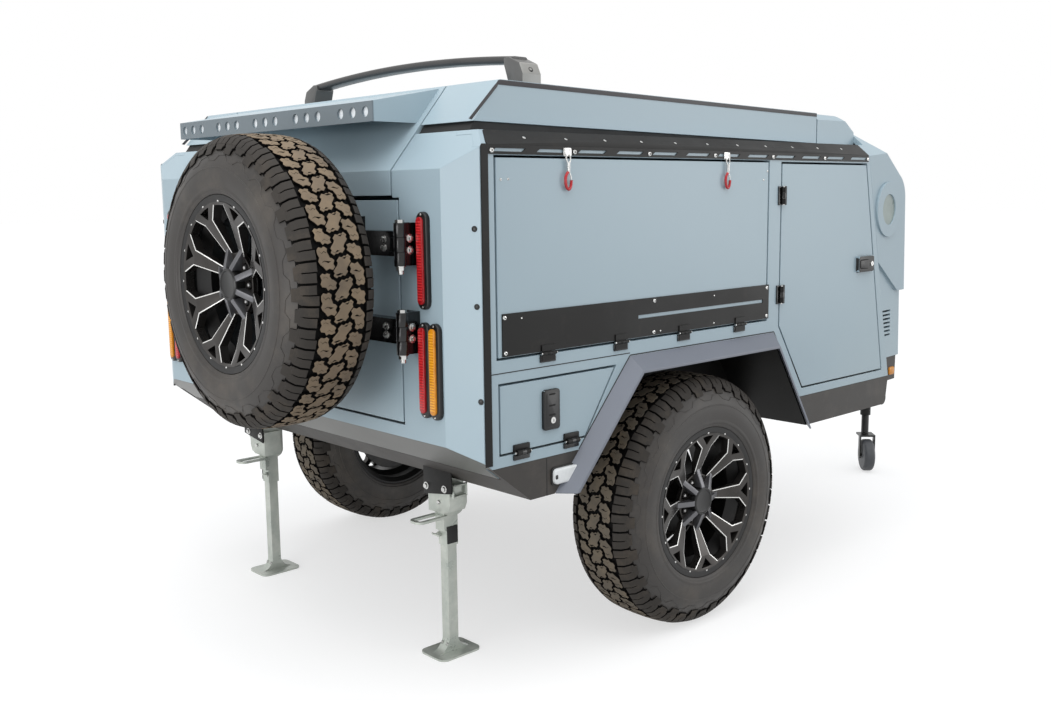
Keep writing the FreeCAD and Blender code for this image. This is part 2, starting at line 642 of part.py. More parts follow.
# Roof lid: an open-bottomed shell, its tail cut out for the rear hatch
lid_outline = [(slant_x(LID_REAR_BOTTOM), LID_REAR_BOTTOM), (slant_x(LID_REAR_TOP), LID_REAR_TOP),
               (LID_FRONT_X, LID_FRONT_TOP), (LID_FRONT_X, LID_FRONT_BOTTOM)]
lid = prism_y(lid_outline, -LID_HALF, LID_HALF)
g = grow(lid_outline, -LID_WALL)
lid_in = [(g[0][0] - 200 / SLANT, g[0][1] - 200), g[1], g[2], (g[3][0], g[3][1] - 200)]
lid_void = prism_y(lid_in, -LID_HALF + LID_WALL, LID_HALF - LID_WALL)
header_x = HATCH_HINGE_X + GAP
cheek = box(-BIG, header_x + 30, HATCH_HALF + GAP, HATCH_HALF + GAP + LID_WALL, 0, BIG)
lid_void = cut(lid_void, both(cheek))
lid_void = cut(lid_void, box(header_x, header_x + 30, -HATCH_HALF - GAP, HATCH_HALF + GAP,
                             lid_top(header_x) - 60, BIG))
lid = cut(lid, lid_void)
lid = cut(lid, box(-BIG, header_x, -HATCH_HALF - GAP, HATCH_HALF + GAP, 0, BIG))
parts["roof_lid"] = [lid]

# Roof bar
bar_z = lid_top(BAR_X)


def bow(y, end_z, mid_z, x0, x1):
    # a slab between x0 and x1 whose upper and lower faces are arcs through (±y, end_z) and (0, mid_z)
    lines = []
    for t in (BAR_T / 2, -BAR_T / 2):
        a, m, b = V(x0, -y, end_z + t), V(x0, 0, mid_z + t), V(x0, y, end_z + t)
        lines.append((Part.Arc(a, m, b).toShape(), a, b))
    (top, a, b), (low, c, d) = lines
    return Part.Face(Part.Wire([top, Part.makeLine(b, d), low, Part.makeLine(c, a)])).extrude(V(x1 - x0, 0, 0))


bar = bow(BAR_HALF - BAR_FOOT_HALF / 2, bar_z + BAR_END_RISE, bar_z + BAR_RISE, BAR_X - BAR_W / 2, BAR_X + BAR_W / 2)
top = BAR_END_RISE + BAR_T / 2
for s in (-1, 1):
    # foot: a tower with a sloping outer shoulder, wider than the bar, on a flat pad
    y0, w = s * BAR_HALF, s * BAR_FOOT_HALF
    tower = [(y0 - w, bar_z - 10), (y0 + w, bar_z - 10), (y0 + w, bar_z + top * 0.5), (y0 + w * 0.5, bar_z + top * 0.84),
             (y0 - w * 0.8, bar_z + top), (y0 - w, bar_z + top * 0.84)]
    wire = Part.makePolygon([V(BAR_X - BAR_W / 2 - 6, y, z) for y, z in tower + tower[:1]])
    bar = fuse(bar, Part.Face(wire).extrude(V(BAR_W + 12, 0, 0)))
bar = cut(bar, prism_y([(p[0], p[1]) for p in lid_outline], -LID_HALF, LID_HALF))
parts["roof_bar"] = [bar]

# Rear hatch: lip, slanted panel and the strip of roof up to its hinge line
hatch_run = [(REAR_X, LIP_BOTTOM), (REAR_X, SLANT_Z), (slant_x(LID_REAR_TOP), LID_REAR_TOP),
             (HATCH_HINGE_X, lid_top(HATCH_HINGE_X))]
rear_hatch = prism_y(strip(hatch_run, PANEL_T), -HATCH_HALF, HATCH_HALF)

# Visor on the rear hatch
visor_root_z = LID_REAR_TOP - 6
visor_foot_z = VISOR_TOP - VISOR_LIP
slant_plane = above_slant()
hood = prism_y(strip([(slant_x(visor_root_z) + 12, visor_root_z + 2), (VISOR_X, VISOR_TOP),
                      (VISOR_X, VISOR_TOP - VISOR_LIP)], -VISOR_T), -VISOR_HALF, VISOR_HALF)
hood = hood.common(slant_plane)
cheek_outline = [(slant_x(visor_root_z), visor_root_z), (VISOR_X, VISOR_TOP),
                 (VISOR_X, visor_foot_z), (slant_x(visor_foot_z), visor_foot_z)]
hood = fuse(hood, *both(prism_y(cheek_outline, VISOR_HALF - VISOR_T, VISOR_HALF)))
for i in range(VISOR_GROUPS):
    for j in (-1, 0, 1):
        y = (i - (VISOR_GROUPS - 1) / 2) * VISOR_GROUP_PITCH + j * VISOR_HOLE_PITCH
        hood = cut(hood, cyl(VISOR_X - 10, y, VISOR_TOP - VISOR_LIP / 2, (1, 0, 0), VISOR_HOLE_R, 30))
parts["visor"] = [hood]

# Doors and hatches in the sides
def side_door(outline):
    return prism_y(outline, BODY_HALF - DOOR_T, BODY_HALF)


hatch = side_door(hatch_outline)
plate = prism_y([(SIDE_HATCH_X0 + 12, SIDE_HATCH_Z0 + 2), (SIDE_HATCH_X1 + PLATE_END, SIDE_HATCH_Z0 + 2),
                 (SIDE_HATCH_X1 + PLATE_END, PLATE_TOP), (SIDE_HATCH_X0 + 12, PLATE_TOP)],
                BODY_HALF, BODY_HALF + PLATE_T)
plate = cut(plate, box(PLATE_SLOT_X0, PLATE_SLOT_X1, BODY_HALF - 1, BODY_HALF + 10,
                       PLATE_SLOT_Z - PLATE_SLOT_H / 2, PLATE_SLOT_Z + PLATE_SLOT_H / 2))


def hinge_x(x, z, length, leaf_up, leaf_down, out):
    # hinge along +X on the left side (Y = +BODY_HALF), moving leaf up, fixed leaf down
    fixed, moving = hinge(length, HINGE_OUT - out, 3.0, 0.5, leaf_down, leaf_up, 3.0)
    res = []
    for s in (fixed, moving):
        s = s.copy()
        # local z -> X, local x -> Z, local y -> -Y (towards the shell)
        m = FreeCAD.Matrix()
        m.A11, m.A12, m.A13 = 0, 0, 1
        m.A21, m.A22, m.A23 = 0, -1, 0
        m.A31, m.A32, m.A33 = 1, 0, 0
        s = s.transformed(m)
        s.translate(V(x - length / 2, BODY_HALF + HINGE_OUT, z))
        res.append(s)
    return res


HINGE_XS = (-646.0, -362.0, -84.0, 192.0)
HINGE_LEN = 48.0
hatch_axis_z = SIDE_HATCH_Z0 - GAP / 2
hatch_hinges_fixed = []
hatch_moving = hatch
for x in HINGE_XS:
    fx, mv = hinge_x(x, hatch_axis_z, HINGE_LEN, 22, 20, PLATE_T)
    hatch_hinges_fixed.append(fx)
    plate = fuse(plate, mv)
fixed_hinges = []
for fx in hatch_hinges_fixed:
    fx2 = fuse(fx, box(fx.BoundBox.XMin, fx.BoundBox.XMax, BODY_HALF, BODY_HALF + PLATE_T,
                       hatch_axis_z - 20, hatch_axis_z - GAP))
    fixed_hinges.append(fx2)
parts["side_hatch_left"] = [hatch_moving]
parts["side_hatch_right"] = [flip_y(hatch_moving)]
parts["hatch_plate_left"] = [plate]
parts["hatch_plate_right"] = [flip_y(plate)]

# Small lower doors
small = side_door(small_outline)
small_axis_z = SMALL_DOOR_BOTTOM - GAP / 2
for x in (-744.0, -561.0):
    fx, mv = hinge_x(x, small_axis_z, 44.0, 20, 16, 0)
    fixed_hinges.append(fx)
    small = fuse(small, mv)
latch_small = box(-665, -607, BODY_HALF, BODY_HALF + 8, 714, 818)
small = fuse(small, latch_small)
parts["small_door_left"] = [small]
parts["small_door_right"] = [flip_y(small)]

# Front doors, hinged at their rear edge
door = side_door(door_outline)
door_axis_x = FRONT_DOOR_X0 - GAP / 2


def hinge_z(x, z, length, leaf, out):
    fixed, moving = hinge(length, HINGE_OUT - out, 3.0, 0.5, leaf, leaf, 3.0)
    res = []
    for s in (fixed, moving):
        m = FreeCAD.Matrix()
        m.A11, m.A12, m.A13 = 1, 0, 0
        m.A21, m.A22, m.A23 = 0, -1, 0
        m.A31, m.A32, m.A33 = 0, 0, -1
        s = s.transformed(m)
        s.translate(V(x, BODY_HALF + HINGE_OUT, z + length / 2))
        res.append(s)
    return res


for z in (1313.0, 994.0):
    fx, mv = hinge_z(door_axis_x, z, 54.0, 18, 0)
    fixed_hinges.append(fx)
    door = fuse(door, mv)
door = fuse(door, box(884, 984, BODY_HALF, BODY_HALF + 12, 1041, 1096))
parts["front_door_left"] = [door]
parts["front_door_right"] = [flip_y(door)]
all_fixed = []
for fx in fixed_hinges:
    all_fixed += both(fx)
parts["side_hinges"] = all_fixed

# Rear door with the spare wheel carrier
rear_door = box(REAR_X, REAR_X + DOOR_T, -REAR_DOOR_HALF, REAR_DOOR_HALF, REAR_DOOR_BOTTOM, REAR_DOOR_TOP)
parts["rear_door"] = [rear_door]
hub_back = SPARE_X - HUB_BACK
carrier = box(REAR_X - 8, REAR_X, SPARE_Y - 150, SPARE_Y + 150, SPARE_Z - 170, SPARE_Z + 170)
carrier = fuse(carrier, cyl(hub_back, SPARE_Y, SPARE_Z, (1, 0, 0), 55, REAR_X - 8 - hub_back))
carrier = fuse(carrier, cyl(hub_back, SPARE_Y, SPARE_Z, (1, 0, 0), 85, 10))
brackets = []
for z in HINGE_ZS:
    h = HINGE_H
    arm = box(REAR_X - 36, REAR_X - 8, PIN_Y + 21, SPARE_Y, z - 32, z + 32)
    knuckle = cyl(PIN_X, PIN_Y, z - h / 6, (0, 0, 1), 16, h / 3)
    web = box(PIN_X - 9, REAR_X - 20, PIN_Y, PIN_Y + 30, z - h / 6, z + h / 6)
    pad = box(REAR_X - 8, REAR_X, -REAR_DOOR_HALF + 12, SPARE_Y, z - 32, z + 32)
    moving = fuse(arm, knuckle, web, pad)
    moving = cut(moving, cyl(PIN_X, PIN_Y, z - h, (0, 0, 1), PIN_R + SPINDLE_CLEARANCE, 2 * h))
    carrier = fuse(carrier, moving)
    fixed = cyl(PIN_X, PIN_Y, z - h / 2, (0, 0, 1), PIN_R, h)
    for z0 in (z - h / 2, z + h / 6 + 1):
        ear = fuse(cyl(PIN_X, PIN_Y, z0, (0, 0, 1), 16, h / 3 - 1),
                   box(PIN_X, REAR_X, PIN_Y - 4, PIN_Y + 10, z0, z0 + h / 3 - 1))
        fixed = fuse(fixed, ear)
    fixed = fuse(fixed, box(REAR_X - 6, REAR_X, PIN_Y - 4, -REAR_DOOR_HALF - 12, z - h / 2, z + h / 2))
    brackets.append(fixed)
parts["spare_carrier"] = [carrier]
parts["rear_hinge_brackets"] = brackets

# Wheels
def revolve_profile(points):
    # points are (radius, distance along the axis), the axis is +Z
    pts = [V(p[0], 0, p[1]) for p in points]
    return Part.Face(Part.makePolygon(pts + [pts[0]])).revolve(V(0, 0, 0), V(0, 0, 1), 360)


def tyre_shape():
    w = TYRE_HALF_W
    t = TREAD_HALF_W
    outer = [(BEAD_R + 0.3, RIM_HALF_W - 15), (RIM_R + 0.3, RIM_HALF_W - 7.4),
             (RIM_R + 0.6, RIM_HALF_W + 1), (RIM_R + 20, w - 3),
             (RIM_R + 48, w), (TYRE_R - 84, w - 2), (TYRE_R - 62, w - 7), (TYRE_R - 42, w - 15),
             (TYRE_R - 26, w - 25), (TYRE_R - 12, t + 4), (TYRE_R - 4, t - 14), (TYRE_R, 0)]
    inner = [(TYRE_R - 20, 0), (TYRE_R - 24, t - 16), (TYRE_R - 36, t - 2), (TYRE_R - 66, w - 22),
             (RIM_R + 52, w - TYRE_WALL), (RIM_R + 20, w - TYRE_WALL - 5), (BEAD_R + 0.3, RIM_HALF_W - 38)]
    prof = outer + [(r, -z) for r, z in outer[-2::-1]]
    prof += [(r, -z) for r, z in inner[::-1]] + [(r, z) for r, z in inner[1:]]
    return revolve_profile(prof)


def window(points):
    pts = [V(r * math.cos(math.radians(a)), r * math.sin(math.radians(a)), -200) for r, a in points]
    return Part.Face(Part.makePolygon(pts + [pts[0]])).extrude(V(0, 0, 400))


def rim_shape():
    w = RIM_HALF_W
    outer = [(RIM_R, w), (RIM_R, w - 7), (BEAD_R, w - 14), (BEAD_R - 2, w - 46), (DROP_R, w - 66)]
    inner = [(DROP_R - RIM_WALL, w - 68), (BEAD_R - RIM_WALL - 2, w - 46),
             (BEAD_R - RIM_WALL, w - 14), (RIM_R - RIM_WALL, w)]
    prof = outer + [(r, -z) for r, z in outer[::-1]]
    prof += [(r, -z) for r, z in inner[::-1]] + inner
    barrel = revolve_profile(prof)
    face = HUB_FACE
    root = HUB_R + 18
    disc = revolve_profile([(0, face), (HUB_CAP_R, face), (HUB_R, face - 5), (root, face - 5), (DISC_KINK_R, w - 8),
                            (RIM_R - 16, w - 1), (RIM_R - 16, w - 8), (BEAD_R - RIM_WALL + 1, w - 14),
                            (BEAD_R - RIM_WALL + 1, w - 1 - SPOKE_T),
                            (root + 6, HUB_BACK), (0, HUB_BACK)])
    step = 360.0 / SPOKE_COUNT
    tools = []
    for i in range(SPOKE_COUNT):
        a = i * step
        tools.append(window([(root + 2, a - 14), (root + 2, a + 14), (DISC_KINK_R, a + 15), (206, a + 7),
                             (206, a - 7), (DISC_KINK_R, a - 15)]))
        b = a + step / 2
        tools.append(window([(DISC_KINK_R + 6, b), (206, b + 7), (206, b - 7)]))
    disc = cut(disc, tools)
    for i in range(SPOKE_COUNT):
        a = i * step
        rib = prism_y([(HUB_CAP_R - 4, HUB_BACK + 4), (HUB_CAP_R - 4, w - 16), (root + 14, face + 2),
                       (root + 14, HUB_BACK + 4)], -RIB_T / 2, RIB_T / 2)
        rib.rotate(V(0, 0, 0), V(0, 0, 1), a + step / 2)
        disc = fuse(disc, rib)
    for i in range(SPOKE_COUNT):
        a = math.radians(i * step)
        disc = cut(disc, cyl(LUG_R * math.cos(a), LUG_R * math.sin(a), face - 9, (0, 0, 1), LUG_POCKET_R, 60))
    cap = revolve_profile([(0, w - 18), (HUB_CAP_R - 11, w - 18), (HUB_CAP_R - 9, w - 14.5), (HUB_CAP_R - 4, w - 14.5),
                           (HUB_CAP_R, w - 20), (HUB_CAP_R, face - 2), (0, face - 2)])
    return fuse(barrel, disc, cap)


def drum_shape():
    # brake drum and hub on the wheel's inner side, up to the back of the wheel disc
    z1 = HUB_BACK
    z0 = z1 - DRUM_L - 60
    bore = SPINDLE_R + SPINDLE_CLEARANCE
    return revolve_profile([(bore, z0 + 8), (DRUM_R, z0 + 8), (DRUM_R, z0 + DRUM_L), (HUB_R, z0 + DRUM_L + 8),
                            (HUB_R, z1), (0, z1), (0, z1 - 12), (bore, z1 - 12)])


def put_wheel(shape, x, y, z, out):
    # turns a wheel from +Z to point its outer face along out
    s = shape.copy()
    if out == "-y":
        s.rotate(V(0, 0, 0), V(1, 0, 0), 90)
    elif out == "+y":
        s.rotate(V(0, 0, 0), V(1, 0, 0), -90)
    else:
        s.rotate(V(0, 0, 0), V(0, 1, 0), -90)
    s.translate(V(x, y, z))
    return s


tyre = tyre_shape()
rim = rim_shape()
drum = drum_shape()
hubbed = fuse(rim, drum)
for name, y, out in (("right", -WHEEL_Y, "-y"), ("left", WHEEL_Y, "+y")):
    parts["tyre_" + name] = [put_wheel(tyre, 0, y, TYRE_R, out)]
    parts["rim_" + name] = [put_wheel(hubbed, 0, y, TYRE_R, out)]
parts["spare_tyre"] = [put_wheel(tyre, SPARE_X, SPARE_Y, SPARE_Z, "-x")]
parts["spare_rim"] = [put_wheel(rim, SPARE_X, SPARE_Y, SPARE_Z, "-x")]

# Chassis: two rails, cross members and the A-frame drawbar, welded into one
RAIL_TOP = BODY_BOTTOM
rail_in = RAIL_OUT - RAIL_W
RAIL_BOTTOM = RAIL_TOP - 100.0
skin = 8 * math.hypot(1, DEPART) / DEPART
rails = box(-900, ARM_START_X, rail_in, RAIL_OUT, RAIL_BOTTOM, RAIL_TOP)
rails = cut(rails, below_departure(skin))
arm_out = ARM_END_IN + RAIL_W
arm = prism_z([(ARM_START_X, rail_in), (ARM_START_X, RAIL_OUT), (ARM_END_X, arm_out),
               (ARM_END_X, ARM_END_IN)], RAIL_BOTTOM, RAIL_TOP)
frame = fuse(rails, flip_y(rails), arm, flip_y(arm))
for x in CROSS_XS:
    frame = fuse(frame, box(x, x + CROSS_W, -rail_in, rail_in, RAIL_BOTTOM + 20, RAIL_TOP))
frame = fuse(frame, box(ARM_END_X - 110, ARM_END_X, -arm_out, arm_out, RAIL_TOP - 8, RAIL_TOP))
for s in (-1, 1):
    y = s * LUG_Y
    lug = box(LUG_X - 25, LUG_X + 25, y - LUG_T / 2, y + LUG_T / 2, RAIL_BOTTOM - 42, RAIL_BOTTOM)
    lug = cut(lug, cyl(LUG_X, y - 50, RAIL_BOTTOM - 22, (0, 1, 0), LUG_HOLE_R, 100))
    frame = fuse(frame, lug)
parts["chassis_frame"] = [frame]
nose_skirt = cut(nose_skirt, frame, floor)
skirts[-1] = nose_skirt

# Coupling head with a ball socket
head = box(ARM_END_X - 100, BALL_X, -28, 28, RAIL_TOP, RAIL_TOP + 34)
head = fuse(head, box(ARM_END_X - 105, ARM_END_X - 5, -60, 60, RAIL_TOP, RAIL_TOP + 10))
dome_r = COUPLING_TIP - BALL_X
head = fuse(head, cyl(BALL_X, 0, BALL_Z - BALL_MOUTH, (0, 0, 1), dome_r, 58))
head = cut(head, Part.makeSphere(BALL_R, V(BALL_X, 0, BALL_Z)))
head = cut(head, cyl(BALL_X, 0, BALL_Z - BALL_MOUTH - 5, (0, 0, 1), BALL_R, BALL_MOUTH + 5))
grip = box(BALL_X - 90, BALL_X + 20, -9, 9, BALL_Z + 42, BALL_Z + 62)
head = fuse(head, grip)
parts["coupling"] = [head]

# Torsion axle with its swing arms, spindles and backing plates
ax_z1 = RAIL_BOTTOM
ax_z0 = RAIL_BOTTOM - AXLE_TUBE
axle = box(AXLE_X - AXLE_TUBE / 2, AXLE_X + AXLE_TUBE / 2, -AXLE_HALF, AXLE_HALF, ax_z0, ax_z1)
axle = cut(axle, box(AXLE_X - AXLE_TUBE / 2 + 6, AXLE_X + AXLE_TUBE / 2 - 6, -AXLE_HALF + 6, AXLE_HALF - 6,
                     ax_z0 + 6, ax_z1 - 6))
pz = (ax_z0 + ax_z1) / 2
l = math.hypot(AXLE_X, pz - TYRE_R)
nx = (pz - TYRE_R) / l
nz = -AXLE_X / l
r0 = 34.0
r1 = 38.0
arm_poly = [(0 + nx * r0, TYRE_R + nz * r0), (AXLE_X + nx * r1, pz + nz * r1),
            (AXLE_X - nx * r1, pz - nz * r1), (0 - nx * r0, TYRE_R - nz * r0)]
swing = fuse(prism_y(arm_poly, AXLE_HALF, AXLE_HALF + ARM_T),
             cyl(0, AXLE_HALF, TYRE_R, (0, 1, 0), r0, ARM_T),
             cyl(AXLE_X, AXLE_HALF, pz, (0, 1, 0), r1, ARM_T))
drum_in = WHEEL_Y + HUB_BACK - DRUM_L - 60 + 8
spindle = cyl(0, AXLE_HALF + ARM_T, TYRE_R, (0, 1, 0), SPINDLE_R, WHEEL_Y + HUB_BACK - 14 - AXLE_HALF - ARM_T)
collar = cyl(0, AXLE_HALF + ARM_T, TYRE_R, (0, 1, 0), 34, drum_in - 4 - 8 - AXLE_HALF - ARM_T)
backing = cyl(0, drum_in - 4 - 8, TYRE_R, (0, 1, 0), DRUM_R - 4, 8)
swing = fuse(swing, spindle, collar, backing)
parts["torsion_axle"] = [fuse(axle, *both(swing))]

# Tail lamps and side markers
def round_ended(x0, x1, y0, y1, z0, z1):
    # an upright bar with half-round ends, standing out along X
    r = (y1 - y0) / 2
    m = (y0 + y1) / 2
    edges = [Part.Arc(V(x0, y0, z1 - r), V(x0, m, z1), V(x0, y1, z1 - r)).toShape(),
             Part.makeLine(V(x0, y1, z1 - r), V(x0, y1, z0 + r)),
             Part.Arc(V(x0, y1, z0 + r), V(x0, m, z0), V(x0, y0, z0 + r)).toShape(),
             Part.makeLine(V(x0, y0, z0 + r), V(x0, y0, z1 - r))]
    return Part.Face(Part.Wire(edges)).extrude(V(x1 - x0, 0, 0))


def lamp(y0, y1, z0, z1):
    body = round_ended(REAR_X - LAMP_T, REAR_X, y0, y1, z0, z1)
    lens = round_ended(REAR_X - LAMP_T - LENS_T, REAR_X - LAMP_T, y0 + 10, y1 - 10, z0 + 12, z1 - 12)
    return body, lens


lamp_out = CORNER_HALF - LAMP_EDGE
high_in = lamp_out - 2 * LAMP_W - 1
up = lamp(high_in, high_in + LAMP_HIGH_W, *LAMP_HIGH)
lo = lamp(lamp_out - 2 * LAMP_W, lamp_out - LAMP_W, *LAMP_LOW)
am = lamp(lamp_out - LAMP_W, lamp_out, *LAMP_LOW)
parts["tail_lamp_housings"] = both(up[0]) + both(fuse(lo[0], am[0]))
parts["tail_lamps_red"] = both(up[1]) + both(lo[1])
parts["tail_lamps_amber"] = both(am[1])
marker = box(-638, -520, BODY_HALF, BODY_HALF + 14, 556, 606)
marker = cut(marker, prism_y(arch(4, 100), *THROUGH_SIDE))
parts["side_markers"] = both(marker)

# Stabiliser legs
ear_x0 = LEG_X - 38
ear_x1 = LEG_X + 38
leg_half = LEG_W / 2
top_z = LEG_PIN_Z + 49
bracket = None
for y0 in (LEG_Y - leg_half - EAR_GAP - EAR_T, LEG_Y + leg_half + EAR_GAP):
    e = prism_y([(ear_x0, top_z + 6), (ear_x0, LEG_PIN_Z - 52), (ear_x0 + 8, LEG_PIN_Z - 70, ear_x0 + 26, LEG_PIN_Z - 78),
                 (ear_x1 - 26, LEG_PIN_Z - 78), (ear_x1 - 8, LEG_PIN_Z - 70, ear_x1, LEG_PIN_Z - 52),
                 (ear_x1, top_z + 6)], y0, y0 + EAR_T)
    bracket = e if bracket is None else bracket.fuse(e)
bracket = fuse(bracket, box(ear_x0, ear_x1, RAIL_OUT, LEG_Y + leg_half + EAR_GAP + EAR_T, top_z, top_z + 6),
               box(ear_x0, ear_x1, RAIL_OUT, RAIL_OUT + 6, RAIL_BOTTOM, RAIL_TOP - 10),
               cyl(LEG_X, LEG_Y - leg_half - EAR_GAP, LEG_PIN_Z, (0, 1, 0), 8, LEG_W + 2 * EAR_GAP))
bracket = cut(bracket, below_departure(skin).common(box(-BIG, 0, 0, BIG, SKIRT_BOTTOM - 3, BIG)))
leg = box(LEG_X - leg_half, LEG_X + leg_half, LEG_Y - leg_half, LEG_Y + leg_half, LEG_SPLIT_Z, LEG_PIN_Z + 24)
ih = LEG_INNER_W / 2
leg = fuse(leg, box(LEG_X - ih, LEG_X + ih, LEG_Y - ih, LEG_Y + ih, FOOT_T, LEG_SPLIT_Z + 2))
foot = box(LEG_X - FOOT_L / 2, LEG_X + FOOT_L / 2, LEG_Y - FOOT_W / 2, LEG_Y + FOOT_W / 2, 0, FOOT_T)
foot = foot.makeFillet(24, [e for e in foot.Edges if abs(e.Length - FOOT_T) < 0.01])
flare_x = FOOT_L / 2 - 18
for k in (-1, 1):
    # the pressed foot sweeps up to the tube at both ends
    foot = fuse(foot, prism_y([(LEG_X, FOOT_T), (LEG_X + k * flare_x, FOOT_T),
                               (LEG_X + k * (ih + 8), FOOT_T + 18, LEG_X + k * ih, FOOT_T + 54), (LEG_X, FOOT_T + 54)],
                              LEG_Y - ih, LEG_Y + ih))
lever = box(LEG_X - leg_half - LEVER_L, LEG_X - leg_half + 4, LEG_Y - 27, LEG_Y + 27, LEVER_Z, LEVER_Z + 7)
lever = lever.makeFillet(20, [e for e in lever.Edges if abs(e.Length - 7) < 0.01 and e.CenterOfMass.x < LEG_X - LEVER_L])
lever = cut(lever, box(LEG_X - leg_half - LEVER_L + 12, LEG_X - leg_half - 14, LEG_Y - 15, LEG_Y + 15, 0, BIG))
lever = fuse(lever, box(LEG_X - leg_half - 10, LEG_X - leg_half, LEG_Y - 20, LEG_Y + 20, LEVER_Z - 40, LEVER_Z + 40))
leg = fuse(leg, foot, lever, bracket)
parts["stabiliser_legs"] = both(leg)

# Jockey stand on the right arm of the drawbar
arm_dir = V(ARM_END_X - ARM_START_X, RAIL_OUT - arm_out, 0)
arm_dir.normalize()
arm_n = V(arm_dir.y, -arm_dir.x, 0)
pin = V(JOCKEY_X, JOCKEY_Y, JOCKEY_PIN_Z)
face_pt = V(ARM_END_X, -arm_out, JOCKEY_PIN_Z)
dist = (pin - face_pt).dot(arm_n)
base = pin - arm_n * dist
turn = math.degrees(math.atan2(arm_dir.y, arm_dir.x))


def along_arm(shape):
    # local x along the arm, local y out of the arm's face from its surface
    s = shape.copy()
    s.rotate(V(0, 0, 0), V(0, 0, 1), turn)
    s.translate(base)
    return s


plate_j = box(-50, 50, -8, 0, -48, 48)
stub = cyl(0, -8, 0, (0, -1, 0), 16, dist - MAST_R - 6 - 8)
sleeve = box(-34, 34, -dist - MAST_R - 5, -(dist - MAST_R - 6), -42, 42)
mast = fuse(plate_j, stub, sleeve,
            cyl(0, -dist, -JOCKEY_PIN_Z + JOCKEY_SLEEVE_Z, (0, 0, 1), MAST_R, 770 - JOCKEY_SLEEVE_Z),
            cyl(0, -dist, -JOCKEY_PIN_Z + 768, (0, 0, 1), 12, 40),
            cyl(-8, -dist, -JOCKEY_PIN_Z + 800, (0, -1, 0), 7, 110))
parts["jockey_mast"] = [along_arm(mast)]
jx = JOCKEY_X
jy = JOCKEY_Y
fork = cyl(jx, jy, JOCKEY_R * 2 + 22, (0, 0, 1), 17, JOCKEY_SLEEVE_Z - JOCKEY_R * 2 - 22 - 0.5)
fork = fuse(fork, box(jx - 20, jx + JOCKEY_TRAIL + 12, jy - JOCKEY_W / 2 - 11, jy + JOCKEY_W / 2 + 11,
                      JOCKEY_R * 2 + 14, JOCKEY_R * 2 + 22))
for s in (-1, 1):
    y0 = jy + s * (JOCKEY_W / 2 + 5) if s > 0 else jy - JOCKEY_W / 2 - 11
    fork = fuse(fork, box(jx + JOCKEY_TRAIL - 16, jx + JOCKEY_TRAIL + 12, y0, y0 + 6, JOCKEY_R - 14, JOCKEY_R * 2 + 16))
fork = fuse(fork, cyl(jx + JOCKEY_TRAIL, jy - JOCKEY_W / 2 - 11, JOCKEY_R, (0, 1, 0), 7, JOCKEY_W + 22))
fork.rotate(V(jx, jy, 0), V(0, 0, 1), JOCKEY_TURN)
parts["jockey_fork"] = [fork]
jw = cyl(jx + JOCKEY_TRAIL, jy - JOCKEY_W / 2, JOCKEY_R, (0, 1, 0), JOCKEY_R, JOCKEY_W)
jw = cut(jw, cyl(jx + JOCKEY_TRAIL, jy - JOCKEY_W, JOCKEY_R, (0, 1, 0), 7 + SPINDLE_CLEARANCE, JOCKEY_W * 2))
jw = jw.makeFillet(14, [e for e in jw.Edges if e.Length > 300])
jw.rotate(V(jx, jy, 0), V(0, 0, 1), JOCKEY_TURN)
parts["jockey_wheel"] = [jw]

# Hinge of the lid, on top of the seam to the fairing, and hinge of the rear hatch
def roof_hinge(x, z, ys, length, fixed_front):
    # knuckles along Y at (x, z); returns fixed and moving halves
    fixed = []
    moving = []
    r = 6.0
    third = length / 3.0
    s = 1 if fixed_front else -1
    for y in ys:
        y0 = y - length / 2
        pin_c = cyl(x, y0, z, (0, 1, 0), 2.5, length)
        fx = pin_c
        for yy in (y0, y0 + 2 * third + 0.5):
            fx = fuse(fx, cyl(x, yy, z, (0, 1, 0), r, third - 0.5),
                      box(min(x + s * 4, x + s * 40), max(x + s * 4, x + s * 40), yy, yy + third - 0.5, z - r - 2, z - r + 3))
        fixed.append(fx)
        mv = fuse(cyl(x, y0 + third, z, (0, 1, 0), r, third),
                  box(min(x - s * 4, x - s * 40), max(x - s * 4, x - s * 40), y0 + third, y0 + 2 * third, z - r - 2, z - r + 3))
        moving.append(cut(mv, cyl(x, y0 - 1, z, (0, 1, 0), 2.5 + SPINDLE_CLEARANCE, length + 2)))
    return fixed, moving


lid_axis = (LID_FRONT_X + FAIRING_GAP / 2, LID_FRONT_TOP + 6.5)
fx, mv = roof_hinge(lid_axis[0], lid_axis[1], (280.0 - LID_HALF, 0.0, LID_HALF - 280.0), 90.0, True)
lid_solid = parts["roof_lid"][0]
fair_solid = parts["roof_fairing"][0]
for s in mv:
    s.translate(V(0, 0, -0.5))
    lid_solid = fuse(lid_solid, s)
for s in fx:
    s.translate(V(0, 0, -0.5))
    fair_solid = fuse(fair_solid, s)
parts["roof_fairing"] = [fair_solid]
hh_x = HATCH_HINGE_X + GAP / 2
hh_z = lid_top(hh_x) + 6
fx, mv = roof_hinge(hh_x, hh_z, (182.0 - HATCH_HALF, HATCH_HALF - 182.0), 90.0, True)
for s in fx:
    lid_solid = fuse(lid_solid, s)
for s in mv:
    rear_hatch = fuse(rear_hatch, s)
parts["roof_lid"] = [lid_solid]
parts["rear_hatch"] = [rear_hatch]

